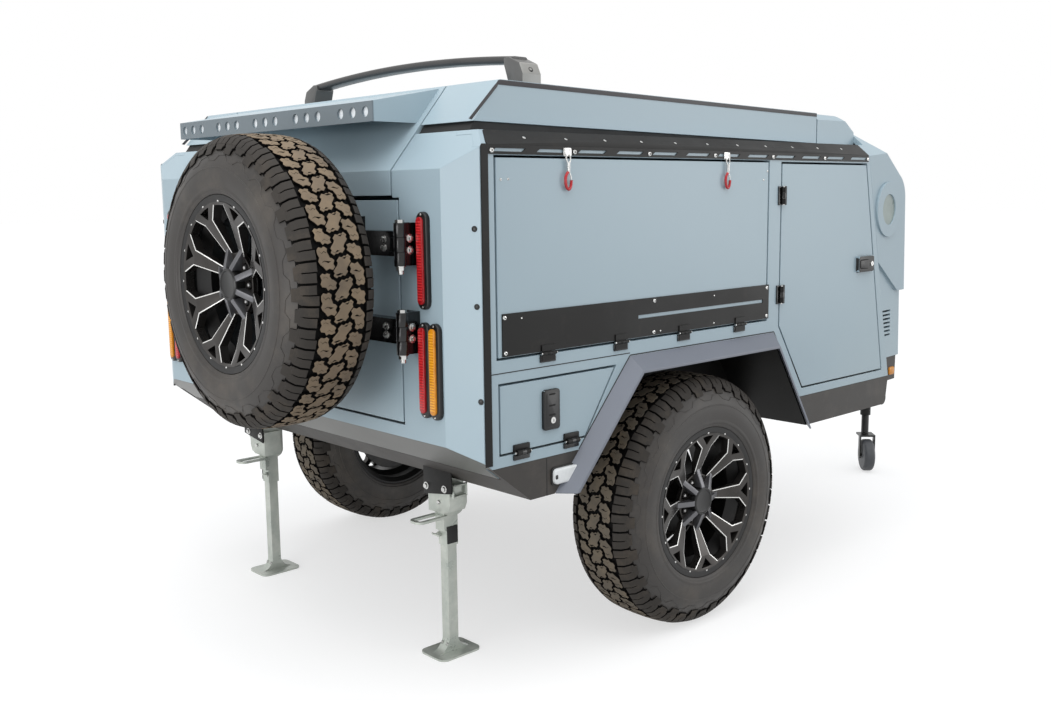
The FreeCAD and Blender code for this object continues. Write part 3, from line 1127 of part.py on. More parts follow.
# Write every part, moved so that the origin is under the middle of the length
rear_end = SPARE_X - TYRE_HALF_W
shift = -(COUPLING_TIP + rear_end) / 2
os.makedirs("parts", exist_ok=True)
print("shift", shift)
for name in sorted(parts):
    solids = []
    for s in parts[name]:
        if not s.isValid():
            print("not valid", name)
        solids += s.Solids
    shape = solids[0] if len(solids) == 1 else Part.makeCompound(solids)
    shape = shape.copy()
    shape.translate(V(shift, 0, 0))
    b = shape.BoundBox
    print(name, len(solids), [round(v) for v in (b.XMin, b.XMax, b.YMin, b.YMax, b.ZMin, b.ZMax)],
          round(shape.Volume / 1e6, 2))
    shape.exportStep("parts/" + name + ".step")
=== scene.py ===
import bmesh
import bpy
import math
from mathutils import Matrix, Vector


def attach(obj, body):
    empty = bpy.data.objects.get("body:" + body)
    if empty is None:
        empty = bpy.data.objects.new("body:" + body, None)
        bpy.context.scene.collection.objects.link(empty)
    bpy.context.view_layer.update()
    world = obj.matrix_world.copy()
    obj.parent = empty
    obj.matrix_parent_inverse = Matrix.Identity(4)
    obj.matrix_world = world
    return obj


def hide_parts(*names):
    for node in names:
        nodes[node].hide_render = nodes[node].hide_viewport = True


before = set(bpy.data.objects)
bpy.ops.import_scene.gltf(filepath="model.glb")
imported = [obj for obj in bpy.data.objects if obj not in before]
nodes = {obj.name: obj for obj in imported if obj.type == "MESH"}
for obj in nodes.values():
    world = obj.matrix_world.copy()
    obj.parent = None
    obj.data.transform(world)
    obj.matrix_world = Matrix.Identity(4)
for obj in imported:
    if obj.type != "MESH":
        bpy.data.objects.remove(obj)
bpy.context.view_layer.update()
scene = bpy.context.scene

# Directions: pieces are shaped on the trailer's right side, and most of them face out from it
RIGHT = Vector((0, -1, 0))
LEFT = Vector((0, 1, 0))
FORWARD = Vector((1, 0, 0))
BACK = Vector((-1, 0, 0))
UP = Vector((0, 0, 1))
CENTRE = Vector((0, 0, 0))

# The wheel axle's place along the frame, in metres
AXLE_AT = -0.689

# Sizes of the trailer that the pieces share, in millimetres from the wheel axle and the ground
SIDE = 868.0
REAR = -911.0
TYRE_R = 388.0
WHEEL_Y = 785.0
SPARE = (-1143.0, -294.0, 1104.0)
FLARE_SEAT = ((-622.2, 533.0), (-319.4, 873.0), (383.0, 873.0), (602.2, 533.0))

# Camera: its place, turn and lens were solved from the photograph
EYE = Vector((-3.302814, -2.890383, 1.328351))
YAW, PITCH, ROLL = 0.8191992, 0.1426248, -0.0118331
SENSOR_WIDTH, FOCAL_LENGTH = 36.0, 37.367
FAR_END = 200.0
ahead = Vector((math.cos(YAW) * math.cos(PITCH), math.sin(YAW) * math.cos(PITCH), -math.sin(PITCH)))
level = Vector((math.sin(YAW), -math.cos(YAW), 0))
upright = level.cross(ahead)
camera_right = level * math.cos(ROLL) + upright * math.sin(ROLL)
camera_up = upright * math.cos(ROLL) - level * math.sin(ROLL)
camera = bpy.data.objects.new("camera", bpy.data.cameras.new("camera"))
camera.data.sensor_width = SENSOR_WIDTH
camera.data.lens = FOCAL_LENGTH
camera.data.clip_end = FAR_END
camera_turn = Matrix((camera_right, camera_up, -ahead)).transposed().to_4x4()
camera.matrix_world = Matrix.Translation(EYE) @ camera_turn
scene.collection.objects.link(camera)
scene.camera = camera
scene.view_settings.view_transform = "Standard"


# Shapes
def at(x, y, z):
    """A place on the trailer, in metres, from millimetres measured from the wheel axle."""
    return Vector((x / 1000 + AXLE_AT, y / 1000, z / 1000))


def everything(part):
    """All the geometry of a shape, as an operator takes it."""
    return part.verts[:] + part.edges[:] + part.faces[:]


def corners(geometry):
    """The vertices among what an operator gives back."""
    return [g for g in geometry if isinstance(g, bmesh.types.BMVert)]


def edges_above(part, height):
    """The edges of a shape that lie wholly above a height."""
    return [e for e in part.edges if all(v.co.z > height for v in e.verts)]


def thicken(part, points, way):
    """Makes one flat face from its corner points and extrudes it into a solid."""
    face = part.faces.new([part.verts.new(point) for point in points])
    face.normal_update()
    if face.normal.dot(way) > 0:
        bmesh.ops.reverse_faces(part, faces=[face])
    raised = bmesh.ops.extrude_face_region(part, geom=[face])["geom"]
    bmesh.ops.translate(part, vec=way, verts=corners(raised))
    bmesh.ops.recalc_face_normals(part, faces=part.faces)


def soften(part, edges, size, segments=2):
    """Rounds edges by a size in millimetres."""
    bmesh.ops.bevel(part, geom=edges, offset=size / 1000, offset_type="OFFSET", segments=segments,
                    profile=0.5, affect="EDGES", clamp_overlap=True, material=-1)


def join(bm, part, material=None, place=None):
    """Puts a finished small shape into the piece that it belongs to."""
    if place is not None:
        bmesh.ops.transform(part, matrix=place, verts=part.verts)
    if material is not None:
        for face in part.faces:
            face.material_index = material
    mesh = bpy.data.meshes.new("part")
    part.to_mesh(mesh)
    part.free()
    bm.from_mesh(mesh)
    bpy.data.meshes.remove(mesh)


def facing(place, axis, spin=0.0):
    """Turns a shape made along +Z to point along an axis, and puts it in its place."""
    turn = axis.to_track_quat("Z", "Y").to_matrix().to_4x4()
    return Matrix.Translation(place) @ turn @ Matrix.Rotation(spin, 4, "Z")


def block(bm, low, high, edge, material=0, segments=2):
    """A rectangular block between two corners, all its edges softened."""
    part = bmesh.new()
    bmesh.ops.create_cube(part, size=1.0)
    stretch = Matrix.LocRotScale((low + high) / 2, None, high - low)
    bmesh.ops.transform(part, matrix=stretch, verts=part.verts)
    soften(part, part.edges[:], edge, segments)
    join(bm, part, material)


def rod(bm, place, axis, radius, length, end, material, sides):
    """A round or many-sided bar from a place along an axis, its far rim softened."""
    part = bmesh.new()
    bmesh.ops.create_cone(part, cap_ends=True, segments=sides, radius1=radius / 1000,
                          radius2=radius / 1000, depth=length / 1000)
    bmesh.ops.translate(part, vec=(0, 0, length / 2000), verts=part.verts)
    if end:
        soften(part, edges_above(part, 0.9 * length / 1000), end)
    join(bm, part, material, facing(place, axis))


def turned(bm, profile, place, axis, material, steps, closed=False):
    """A shape turned on a lathe: profile points are radius and height in millimetres."""
    part = bmesh.new()
    row = [part.verts.new((r / 1000, 0, h / 1000)) for r, h in profile]
    ends = list(zip(row[:-1], row[1:])) + ([(row[-1], row[0])] if closed else [])
    edges = [part.edges.new(two) for two in ends]
    bmesh.ops.spin(part, geom=row + edges, cent=(0, 0, 0), axis=(0, 0, 1), angle=2 * math.pi,
                   steps=steps, use_merge=True)
    bmesh.ops.remove_doubles(part, verts=part.verts, dist=0.00002)
    bmesh.ops.recalc_face_normals(part, faces=part.faces)
    join(bm, part, material, facing(place, axis))


def plate(bm, outline, place, thick, edge, material, across=FORWARD, out=RIGHT, segments=2):
    """A flat plate with the given outline, standing out from a surface, its front edge softened."""
    part = bmesh.new()
    thicken(part, [(u / 1000, v / 1000, 0) for u, v in outline], Vector((0, 0, thick / 1000)))
    if edge:
        soften(part, edges_above(part, 0.9 * thick / 1000), edge, segments)
    stand = Matrix((across, out.cross(across), out)).transposed().to_4x4()
    join(bm, part, material, Matrix.Translation(place) @ stand)


def rounded(width, height, radius, steps=6):
    """The outline of a rectangle with round corners, about its centre."""
    u, v = width / 2 - radius, height / 2 - radius
    outline = []
    for middle_u, middle_v, start in ((u, v, 0), (-u, v, 90), (-u, -v, 180), (u, -v, 270)):
        for i in range(steps + 1):
            a = math.radians(start + 90 * i / steps)
            outline.append((middle_u + radius * math.cos(a), middle_v + radius * math.sin(a)))
    return outline


def rectangle(u0, v0, u1, v1):
    """The outline of a rectangle between two corners."""
    return [(u0, v0), (u1, v0), (u1, v1), (u0, v1)]


def wire(bm, points, radius, material, closed=False, smooth=True, sides=4):
    """A bent round bar or tube through the given places."""
    curve = bpy.data.curves.new("bend", "CURVE")
    curve.dimensions = "3D"
    curve.bevel_depth = radius / 1000
    curve.bevel_resolution = sides
    curve.use_fill_caps = True
    spline = curve.splines.new("NURBS" if smooth else "POLY")
    spline.points.add(len(points) - 1)
    for point, place in zip(spline.points, points):
        point.co = (*place, 1)
    if smooth:
        spline.order_u = 3
        spline.use_endpoint_u = not closed
        spline.resolution_u = 5
    spline.use_cyclic_u = closed
    holder = bpy.data.objects.new("bend", curve)
    mesh = bpy.data.meshes.new_from_object(holder)
    part = bmesh.new()
    part.from_mesh(mesh)
    bmesh.ops.remove_doubles(part, verts=part.verts, dist=0.00001)
    bmesh.ops.recalc_face_normals(part, faces=part.faces)
    bpy.data.objects.remove(holder)
    bpy.data.meshes.remove(mesh)
    bpy.data.curves.remove(curve)
    join(bm, part, material)


# A bolt's washer and head in millimetres, and how far a hexagon's corners reach for its width
WASHER_THICK, HEAD_HIGH = 1.4, 5.0
HEX_CORNER, WASHER_REACH = 0.577, 0.85
# A button head's profile and its socket, as shares of its radius
BUTTON_PROFILE = ((1, 0), (1, 0.12), (0.82, 0.42), (0.45, 0.56), (0, 0.58))
SOCKET_LIFT, SOCKET_WIDE, SOCKET_HIGH = 0.5, 0.36, 0.12


def bolt(bm, place, axis, across, washer=True, material=0):
    """A hexagon bolt head, on a washer or bare."""
    if washer:
        rod(bm, place, axis, across * WASHER_REACH, WASHER_THICK, 0.4, material, 16)
    rod(bm, place, axis, across * HEX_CORNER, HEAD_HIGH + WASHER_THICK, 0.8, material, 6)


def button(bm, place, axis, radius, material, socket=None):
    """A round-headed screw; its drive is a small dark hexagon, painted shade for a recess, where a second
    material is given.
    """
    turned(bm, [(radius * r, radius * h) for r, h in BUTTON_PROFILE], place, axis, material, 16)
    if socket is not None:
        lifted = place + axis * radius * (SOCKET_LIFT / 1000)
        rod(bm, lifted, axis, radius * SOCKET_WIDE, radius * SOCKET_HIGH, 0, socket, 6)


def flipped(bm):
    """The same shapes on the trailer's left side."""
    other = bm.copy()
    bmesh.ops.scale(other, vec=(1, -1, 1), verts=other.verts)
    bmesh.ops.reverse_faces(other, faces=other.faces)
    return other


def piece(name, bm, materials, body, replaces=(), sharp_from=32.0):
    """Makes a shape a piece that rides on a body; edges sharper than an angle in degrees stay sharp."""
    mesh = bpy.data.meshes.new(name)
    bm.to_mesh(mesh)
    bm.free()
    for material in materials:
        mesh.materials.append(material)
    mesh.shade_smooth()
    mesh.set_sharp_from_angle(angle=math.radians(sharp_from))
    obj = bpy.data.objects.new(name, mesh)
    scene.collection.objects.link(obj)
    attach(obj, body)
    if replaces:
        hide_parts(*replaces)


def pair(name, bm, materials, body, replaces=()):
    """Right and left pieces: one on a shared body, or two where the body's name ends in a side."""
    other = flipped(bm)
    if body.endswith("_"):
        piece(name + "_right", bm, materials, body + "right")
        piece(name + "_left", other, materials, body + "left")
    else:
        join(bm, other)
        piece(name, bm, materials, body, replaces)


def put(name, shape, place, axis, materials, body, replaces, sharp_from=32.0, spin=0.0):
    """A copy of a shape made along +Z as a piece of its own, facing an axis in its place."""
    copy = shape.copy()
    bmesh.ops.transform(copy, matrix=facing(place, axis, spin), verts=copy.verts)
    piece(name, copy, materials, body, replaces, sharp_from)


# Finishes
def colour(text):
    """A linear colour from an sRGB hex value."""
    parts = [int(text[i:i + 2], 16) / 255 for i in (0, 2, 4)]
    return tuple(c / 12.92 if c <= 0.04045 else ((c + 0.055) / 1.055) ** 2.4 for c in parts) + (1.0,)


def add(tree, kind, sockets=None, **settings):
    """Adds a node with its settings; a socket is given a value or another node's output."""
    made = tree.nodes.new(kind)
    for key, value in settings.items():
        setattr(made, key, value)
    for key, value in (sockets or {}).items():
        if isinstance(value, bpy.types.NodeSocket):
            tree.links.new(value, made.inputs[key])
        else:
            made.inputs[key].default_value = value
    return made


def finish(name, light, dark, patch, grain, relief, rough, spread, **shader):
    """A surface with two close tones in patches, gloss that varies by spread and a fine raised grain.
    The widths of patches and grain and the grain's relief are in millimetres."""
    material = bpy.data.materials.new(name)
    material.use_nodes = True
    tree = material.node_tree
    tree.nodes.clear()
    where = add(tree, "ShaderNodeTexCoord").outputs["Object"]
    patches = add(tree, "ShaderNodeTexNoise", {
        "Vector": where, "Scale": 1000 / patch, "Detail": 4.0, "Roughness": 0.55})
    tone = add(tree, "ShaderNodeMapRange", {
        "Value": patches.outputs["Fac"], "From Min": 0.25, "From Max": 0.75})
    base = add(tree, "ShaderNodeMix", {
        0: tone.outputs[0], 6: colour(dark), 7: colour(light)}, data_type="RGBA")
    fine = add(tree, "ShaderNodeTexNoise", {
        "Vector": where, "Scale": 1000 / grain, "Detail": 3.0, "Roughness": 0.6})
    gloss = add(tree, "ShaderNodeMapRange", {
        "Value": patches.outputs["Fac"], "From Min": 0.3, "From Max": 0.7,
        "To Min": rough - spread / 2, "To Max": rough + spread / 2})
    bump = add(tree, "ShaderNodeBump", {
        "Height": fine.outputs["Fac"], "Strength": 0.6, "Distance": relief / 1000})
    bsdf = add(tree, "ShaderNodeBsdfPrincipled", {
        "Base Color": base.outputs[2], "Roughness": gloss.outputs[0], "Normal": bump.outputs["Normal"],
        **shader})
    add(tree, "ShaderNodeOutputMaterial", {"Surface": bsdf.outputs["BSDF"]})
    return material


def lay_over(material, cover, tone):
    """Mixes a tone over a finish's base colour, as far as cover says."""
    tree = material.node_tree
    base = next(n for n in tree.nodes if n.type == "BSDF_PRINCIPLED").inputs["Base Color"]
    over = add(tree, "ShaderNodeMix", {
        0: cover, 6: base.links[0].from_socket, 7: colour(tone)}, data_type="RGBA")
    tree.links.new(over.outputs[2], base)


def places(tree):
    """The object's own coordinates, which a finish already has in its tree."""
    return next(n for n in tree.nodes if n.type == "TEX_COORD").outputs["Object"]


def tint(material, tone, amount, patch, low, high):
    """Lays a second tone over a finish in patches of a width in millimetres, where the noise passes
    from low to high."""
    tree = material.node_tree
    cloud = add(tree, "ShaderNodeTexNoise", {
        "Vector": places(tree), "Scale": 1000 / patch, "Detail": 6.0, "Roughness": 0.65})
    cover = add(tree, "ShaderNodeMapRange", {
        "Value": cloud.outputs["Fac"], "From Min": low, "From Max": high, "To Max": amount})
    lay_over(material, cover.outputs[0], tone)


def shade(material, tone, amount, *limits):
    """Lays a tone where every limit holds: (source, axis, where it starts, where it is full)."""
    tree = material.node_tree
    sources = {"place": places(tree), "lean": add(tree, "ShaderNodeNewGeometry").outputs["Normal"]}
    cover = amount
    for source, axis, start, full in limits:
        split = add(tree, "ShaderNodeSeparateXYZ", {0: sources[source]})
        reach = add(tree, "ShaderNodeMapRange", {
            "Value": split.outputs[axis], "From Min": start, "From Max": full})
        both = add(tree, "ShaderNodeMath", {0: cover, 1: reach.outputs[0]}, operation="MULTIPLY")
        cover = both.outputs[0]
    lay_over(material, cover, tone)


# Powder coat on folded aluminium panels: satin, a faint orange peel, tones that drift a little
# over a panel. The peel is really about 2 mm wide and is drawn at 9 mm so that it shows.
BODY_COAT = dict(light="A2B5BE", dark="9AADB7", patch=700, grain=9, relief=0.10, rough=0.36, spread=0.08,
                 IOR=1.5)
body_coat = finish("powder_coat_blue_grey", **BODY_COAT)
tint(body_coat, "AAB6B8", amount=0.35, patch=1500, low=0.5, high=0.75)
# Painted shade on the low slanted faces that look down at the ground, with a painted reflection of the dark
# ground and road dust in it
shade(body_coat, "4C4840", 0.92, ("lean", "Z", -0.2, -0.5), ("place", "Z", 0.80, 0.74))
# The visor in the same coat, its lip in a darker tone
visor_coat = finish("powder_coat_visor", **BODY_COAT)
shade(visor_coat, "5C656B", 0.85, ("place", "X", -1.6285, -1.6315))
# The same coat on the flares, darker and with a touch of violet as painted shade, and paler on the top face
# as a painted highlight where it faces up
flare_coat = finish("powder_coat_flare", "757A85", "6B707A", patch=500, grain=9, relief=0.10, rough=0.40,
                    spread=0.08, IOR=1.5)
shade(flare_coat, "C0C8D0", 0.9, ("lean", "Z", 0.8, 0.96))
# A fine texture scatters the mirror-like sheen, so some coats and rubbers keep only a share of it
SHEEN = "Specular IOR Level"
# Black powder coat on plates, rails and brackets: fine texture, almost no colour
black_coat = finish("powder_coat_black", "121110", "0B0B0A", patch=180, grain=3, relief=0.12, rough=0.42,
                    spread=0.14, IOR=1.42, **{SHEEN: 0.3})
tint(black_coat, "3A322C", amount=0.3, patch=60, low=0.58, high=0.8)
# Baked enamel on hinges and the spare wheel's carrier: a glossy, even black
hinge_black = finish("enamel_black_gloss", "0C0C0D", "070708", patch=60, grain=3, relief=0.05, rough=0.2,
                     spread=0.08, IOR=1.5)
# Powder coat on the lid's edging: dark grey, lighter than the plates
guard_coat = finish("powder_coat_guard", "4A484A", "3B393B", patch=260, grain=4, relief=0.10, rough=0.45,
                    spread=0.10, IOR=1.5, **{SHEEN: 0.3})
# Sheet steel skirts in textured coat, dusty from the road
skirt_coat = finish("textured_coat_skirt", "322E2A", "24211E", patch=220, grain=3, relief=0.20, rough=0.55,
                    spread=0.12, IOR=1.5)
tint(skirt_coat, "544C45", amount=0.4, patch=90, low=0.5, high=0.8)
# Welded steel chassis in black enamel, brushed on: deeper black, patches of road dust
chassis_coat = finish("enamel_chassis", "1A1919", "111010", patch=150, grain=6, relief=0.2, rough=0.48,
                      spread=0.16, IOR=1.5)
tint(chassis_coat, "5A5046", amount=0.4, patch=70, low=0.52, high=0.8)
# Electroplated zinc on the stabiliser legs: pale, slightly green, streaky where it was dipped
zinc = finish("zinc_plated_steel", "CDD0C8", "A9B0A8", patch=60, grain=5, relief=0.12, rough=0.36,
              spread=0.22, Metallic=0.35)
tint(zinc, "8C9A94", amount=0.35, patch=35, low=0.5, high=0.75)
# Stainless fasteners, turned and tumbled: bright, with soft reflections
stainless = finish("stainless_steel", "D8D8D6", "B4B4B2", patch=30, grain=2, relief=0.03, rough=0.26,
                   spread=0.12, Metallic=1.0)
# Diamond-cut aluminium on the spoke edges, bare and bright
cut_alloy = finish("diamond_cut_alloy", "F2F1EE", "E2E1DE", patch=20, grain=1.2, relief=0.03, rough=0.3,
                   spread=0.1, Metallic=0.6)
# Satin black paint with a fine metal flake on cast alloy wheels: it takes a grey sheen from the sky
rim_black = finish("painted_cast_alloy", "4B4846", "383634", patch=120, grain=4, relief=0.05, rough=0.30,
                   spread=0.10, Metallic=0.75)
# The same paint on the fins of the hub, given a paler colour as painted light, since they face the sky
fin_coat = finish("painted_cast_alloy_fin", "77777A", "626265", patch=90, grain=4, relief=0.05, rough=0.38,
                  spread=0.10, Metallic=0.75)
# The inside of the barrel: the same paint with less flake, its colour painted darker as shade, and dusty
barrel_black = finish("painted_barrel", "131212", "0B0B0B", patch=140, grain=5, relief=0.08, rough=0.42,
                      spread=0.10, IOR=1.4)
tint(barrel_black, "3A332D", amount=0.3, patch=60, low=0.52, high=0.8)
# Vulcanised tyre rubber: brown-black, dull, dusted
rubber = finish("tyre_rubber", "322E2B", "282522", patch=160, grain=3, relief=0.25, rough=0.52,
                spread=0.16, IOR=1.52)
tint(rubber, "6A6156", amount=0.45, patch=190, low=0.5, high=0.8)
# Rubber in the grooves, where no wear reaches, painted nearly black as shade
groove_rubber = finish("tyre_rubber_groove", "100F0E", "0A0909", patch=60, grain=3, relief=0.25, rough=0.8,
                       spread=0.1, IOR=1.35, **{SHEEN: 0.2})
# Tread tops with dry clay worn into them, and the spare tyre's, on which the clay lies thicker
tread_rubber = finish("tyre_rubber_dusty", "6C6355", "544D44", patch=90, grain=2.5, relief=0.35, rough=0.85,
                      spread=0.1, IOR=1.52)
tint(tread_rubber, "7F705C", amount=0.5, patch=70, low=0.46, high=0.66)
clay_rubber = finish("tyre_rubber_clay", "8B7962", "6E6050", patch=90, grain=2.5, relief=0.35, rough=0.85,
                     spread=0.1, IOR=1.52)
tint(clay_rubber, "524940", amount=0.65, patch=130, low=0.48, high=0.7)
# Shoulder lugs: rubber brushed by stones, a little paler than the side wall
lug_rubber = finish("tyre_rubber_shoulder", "3C3834", "2F2C29", patch=120, grain=2.5, relief=0.3,
                    rough=0.74, spread=0.1, IOR=1.52, **{SHEEN: 0.25})
tint(lug_rubber, "6E6254", amount=0.4, patch=110, low=0.5, high=0.78)
# Moulded ABS of latches, lamp cases and plugs: black, finely grained, half glossy
plastic = finish("moulded_abs_black", "151515", "0E0E0E", patch=90, grain=1.5, relief=0.08, rough=0.34,
                 spread=0.1, IOR=1.46)
# Glass-filled nylon on the crossbar, satin; its foot covers are painted a lighter satin grey
bar_black = finish("moulded_nylon_bar", "3C3B3B", "2F2E2E", patch=120, grain=2, relief=0.08, rough=0.34,
                   spread=0.1, IOR=1.53)
foot_grey = finish("moulded_nylon_foot", "5E5D5B", "504F4E", patch=120, grain=2, relief=0.08, rough=0.38,
                   spread=0.1, IOR=1.53)
bar_satin = finish("painted_foot_cover", "9A9893", "8A8884", patch=80, grain=2, relief=0.05, rough=0.32,
                   spread=0.08, IOR=1.5)
# Extruded EPDM seal: soft, dull black
seal_rubber = finish("epdm_seal", "1A1A1A", "101010", patch=80, grain=2, relief=0.1, rough=0.7, spread=0.1,
                     IOR=1.52)
# Moulded acrylic lenses: clear deep colours under a hard gloss, and the brighter chips in them
red_lens = finish("moulded_acrylic_red", "B81D24", "8E1219", patch=14, grain=3, relief=0.10, rough=0.18,
                  spread=0.06, IOR=1.49)
amber_lens = finish("moulded_acrylic_amber", "E0931C", "C0740E", patch=14, grain=3, relief=0.10, rough=0.18,
                    spread=0.06, IOR=1.49)
led_red = finish("led_chip_red", "E23A3C", "C2242A", patch=6, grain=2, relief=0.05, rough=0.12, spread=0.05,
                 IOR=1.49)
led_amber = finish("led_chip_amber", "F7B93A", "E89A1C", patch=6, grain=2, relief=0.05, rough=0.12,
                   spread=0.05, IOR=1.49)
white_lens = finish("moulded_acrylic_white", "EDEFEF", "D9DCDD", patch=40, grain=3, relief=0.05, rough=0.22,
                    spread=0.08, IOR=1.49)
# A pale strip behind the visor's holes: its near-white colour is painted light, standing for the daylight
# seen through them
daylight_strip_painted = finish("pale_strip_painted_daylight", "F4F8FA", "E8EEF2", patch=40, grain=3, relief=0.05, rough=0.4,
                     spread=0.08, IOR=1.49)
# Frosted polycarbonate portholes: milky grey-green
porthole_glass = finish("frosted_polycarbonate", "98A5A0", "7D8B87", patch=60, grain=3, relief=0.1,
                        rough=0.30, spread=0.1, IOR=1.58)
# Dipped enamel on the strap hooks: thick, glossy red
hook_red = finish("dipped_enamel_red", "C8202A", "9E141C", patch=20, grain=2, relief=0.05, rough=0.25,
                  spread=0.1, IOR=1.5)
# Moulded polyamide of the jockey wheel: mid grey, dull
caster_grey = finish("moulded_polyamide_grey", "55575A", "44464A", patch=60, grain=2, relief=0.08,
                     rough=0.5, spread=0.1, IOR=1.53)
# Painted shade: near-black for recesses, slots, screw drives and the vents' backing, where no light reaches
dark_inside = finish("unlit_recess", "0C0C0C", "060606", patch=60, grain=4, relief=0.1, rough=0.9,
                     spread=0.05, IOR=1.5)

# CAD nodes keep their shape; each gets its finish, and those listed get an edge radius in millimetres
COATS = {
    body_coat: "side_panels rear_frame nose_shell roof_fairing roof_lid rear_hatch side_hatch_left "
               "side_hatch_right small_door_left small_door_right front_door_left front_door_right "
               "rear_door porthole_frames",
    flare_coat: "fender_flares",
    visor_coat: "visor",
    black_coat: "hatch_plate_left hatch_plate_right side_trim side_hinges wheel_boxes jockey_mast",
    hinge_black: "rear_hinge_brackets spare_carrier",
    skirt_coat: "lower_skirts",
    chassis_coat: "chassis_frame torsion_axle floor_panel",
    zinc: "stabiliser_legs coupling",
    plastic: "roof_bar tail_lamp_housings jockey_fork",
    seal_rubber: "lid_seal",
    caster_grey: "jockey_wheel",
    rim_black: "rim_left rim_right spare_rim",
    rubber: "tyre_left tyre_right spare_tyre",
    red_lens: "tail_lamps_red",
    amber_lens: "tail_lamps_amber",
    white_lens: "side_markers",
    porthole_glass: "porthole_lenses",
}
EDGE_RADII = {
    3.0: "chassis_frame",
    2.5: "nose_shell",
    2.0: "rear_frame roof_fairing roof_lid rear_hatch coupling torsion_axle",
    1.8: "rear_door",
    1.6: "side_panels side_hatch_left side_hatch_right small_door_left small_door_right front_door_left "
         "front_door_right",
    1.5: "fender_flares porthole_frames",
    1.2: "visor lower_skirts spare_carrier",
    1.0: "rear_hinge_brackets jockey_mast jockey_fork lid_seal",
    0.6: "side_trim",
    0.5: "hatch_plate_left hatch_plate_right",
}
SHARP_EDGE = math.radians(28)
for material, names in COATS.items():
    for name in names.split():
        mesh = nodes[name].data
        mesh.materials.clear()
        mesh.materials.append(material)
for radius, names in EDGE_RADII.items():
    for name in names.split():
        weld = nodes[name].modifiers.new("weld", "WELD")
        weld.merge_threshold = 0.00002
        bevel = nodes[name].modifiers.new("edge", "BEVEL")
        bevel.width = radius / 1000
        bevel.segments = 2
        bevel.limit_method = "ANGLE"
        bevel.angle_limit = SHARP_EDGE
        bevel.harden_normals = True

# Tyres: how often the tread repeats, and the length of one repeat
REPEATS = 22
REPEAT = 2 * math.pi * TYRE_R / REPEATS
# Materials of a tyre, in the order of its list
GROOVE, TOP, LUG, WALL = range(4)
# The tread's surface from its middle to the side wall: radius, and distance from the middle
TREAD_SURFACE = ((388.0, 0.0), (387.7, 22.0), (386.6, 48.0), (384.0, 72.0), (376.0, 92.0), (362.0, 104.0),
                 (346.0, 114.0), (330.0, 120.5), (312.0, 125.5))
TREAD_BENDS = []
run = 0.0
for p, q in zip(TREAD_SURFACE[:-1], TREAD_SURFACE[1:]):
    TREAD_BENDS.append((run, p, q))
    run += math.dist(p, q)
BLOCK_DEPTH, LUG_DEPTH, CUT_DEPTH = 11, 10, 2
BLOCK_WORN, LUG_WORN = 0.15, 0.7
CUT_WIDTH = 1.5
RIM_WORN = 1.0
# The outer rows match after half a turn of the pattern, which takes this length along it to nought
TURN_LENGTH = 116


def wrap(u, v, h):
    """Bends a flat tread pattern, u along the rolling direction and v across, round the tyre."""
    side = -1.0 if v < 0 else 1.0
    start, p, q = [bend for bend in TREAD_BENDS if bend[0] <= abs(v)][-1]
    length = math.dist(p, q)
    dr, dz = (q[0] - p[0]) / length, (q[1] - p[1]) / length
    r = p[0] + dr * (abs(v) - start) + dz * h
    z = p[1] + dz * (abs(v) - start) - dr * h
    a = u / TYRE_R
    return Vector((r * math.cos(a), r * math.sin(a), side * z)) / 1000


def slimmer(outline, share):
    """Draws an outline in towards its middle, which widens the grooves round it."""
    u = sum(p[0] for p in outline) / len(outline)
    v = sum(p[1] for p in outline) / len(outline)
    return [(u + (p[0] - u) * share, v + (p[1] - v) * share) for p in outline]


def half_turned(points):
    """Pattern points, across then along, after half a turn about the pattern's middle."""
    return [(-v, TURN_LENGTH - u) for v, u in points]


def laid(points, shift=0):
    """Pattern points, across then along, as places along and across the tyre, moved back by a shift."""
    return [(u - shift, v) for v, u in points]


def slit(line):
    """The outline of a narrow cut that follows a line of pattern points."""
    return line + [(v, u + CUT_WIDTH) for v, u in line[::-1]]


def tread_block(bm, outline, top, depth, worn=0.0):
    """One rubber block in the flat pattern, in millimetres: its outline raised from the carcass to
    worn below the tread's surface, its rim rounded, and all of it bent round the tyre."""
    part = bmesh.new()
    thicken(part, [(u, v, -depth) for u, v in outline], Vector((0, 0, depth - worn)))
    bmesh.ops.bevel(part, geom=edges_above(part, -worn - 0.01), offset=RIM_WORN, offset_type="OFFSET",
                    segments=1, profile=0.5, affect="EDGES", clamp_overlap=True, material=-1)
    for bend in TREAD_BENDS[1:]:
        for side in (-1, 1):
            bmesh.ops.bisect_plane(part, geom=everything(part), dist=0.001,
                                   plane_co=(0, side * bend[0], 0), plane_no=(0, 1, 0))
    # Block sides take the near-black groove rubber: painted shade, as in the grooves
    for face in part.faces:
        face.normal_update()
        face.material_index = top if face.normal.z > 0.3 else GROOVE
    for v in part.verts:
        v.co = wrap(*v.co)
    join(bm, part)


# One repeat of the tread, across then along: a boot and a bean in each outer row, two Z blocks between
BOOT = [(-65, 14), (-59, 7), (-50, 9.5), (-43, 6), (-35, 12), (-37, 21), (-33, 30), (-31, 36), (-25, 37),
        (-19, 43), (-23, 52), (-19, 60), (-26, 67.5), (-36, 64), (-46, 68), (-53, 59), (-61, 52),
        (-65, 44), (-61, 34), (-65, 25)]
BEAN = [(-65, 77), (-58, 71), (-51, 74), (-45, 71.5), (-36, 74), (-38, 80), (-33, 87), (-26, 90),
        (-18, 97), (-22, 104), (-19, 111), (-30, 115), (-38, 112), (-45, 116), (-50, 108), (-61, 106),
        (-65, 98), (-61, 88)]
HALF_Z = [(-29, 70), (-26, 76), (-30, 83), (-21, 90), (-15, 85), (-9, 86), (-2, 82), (6, 84), (16, 73),
          (13, 67), (16, 61)]
Z_BLOCK = HALF_Z + half_turned(HALF_Z)
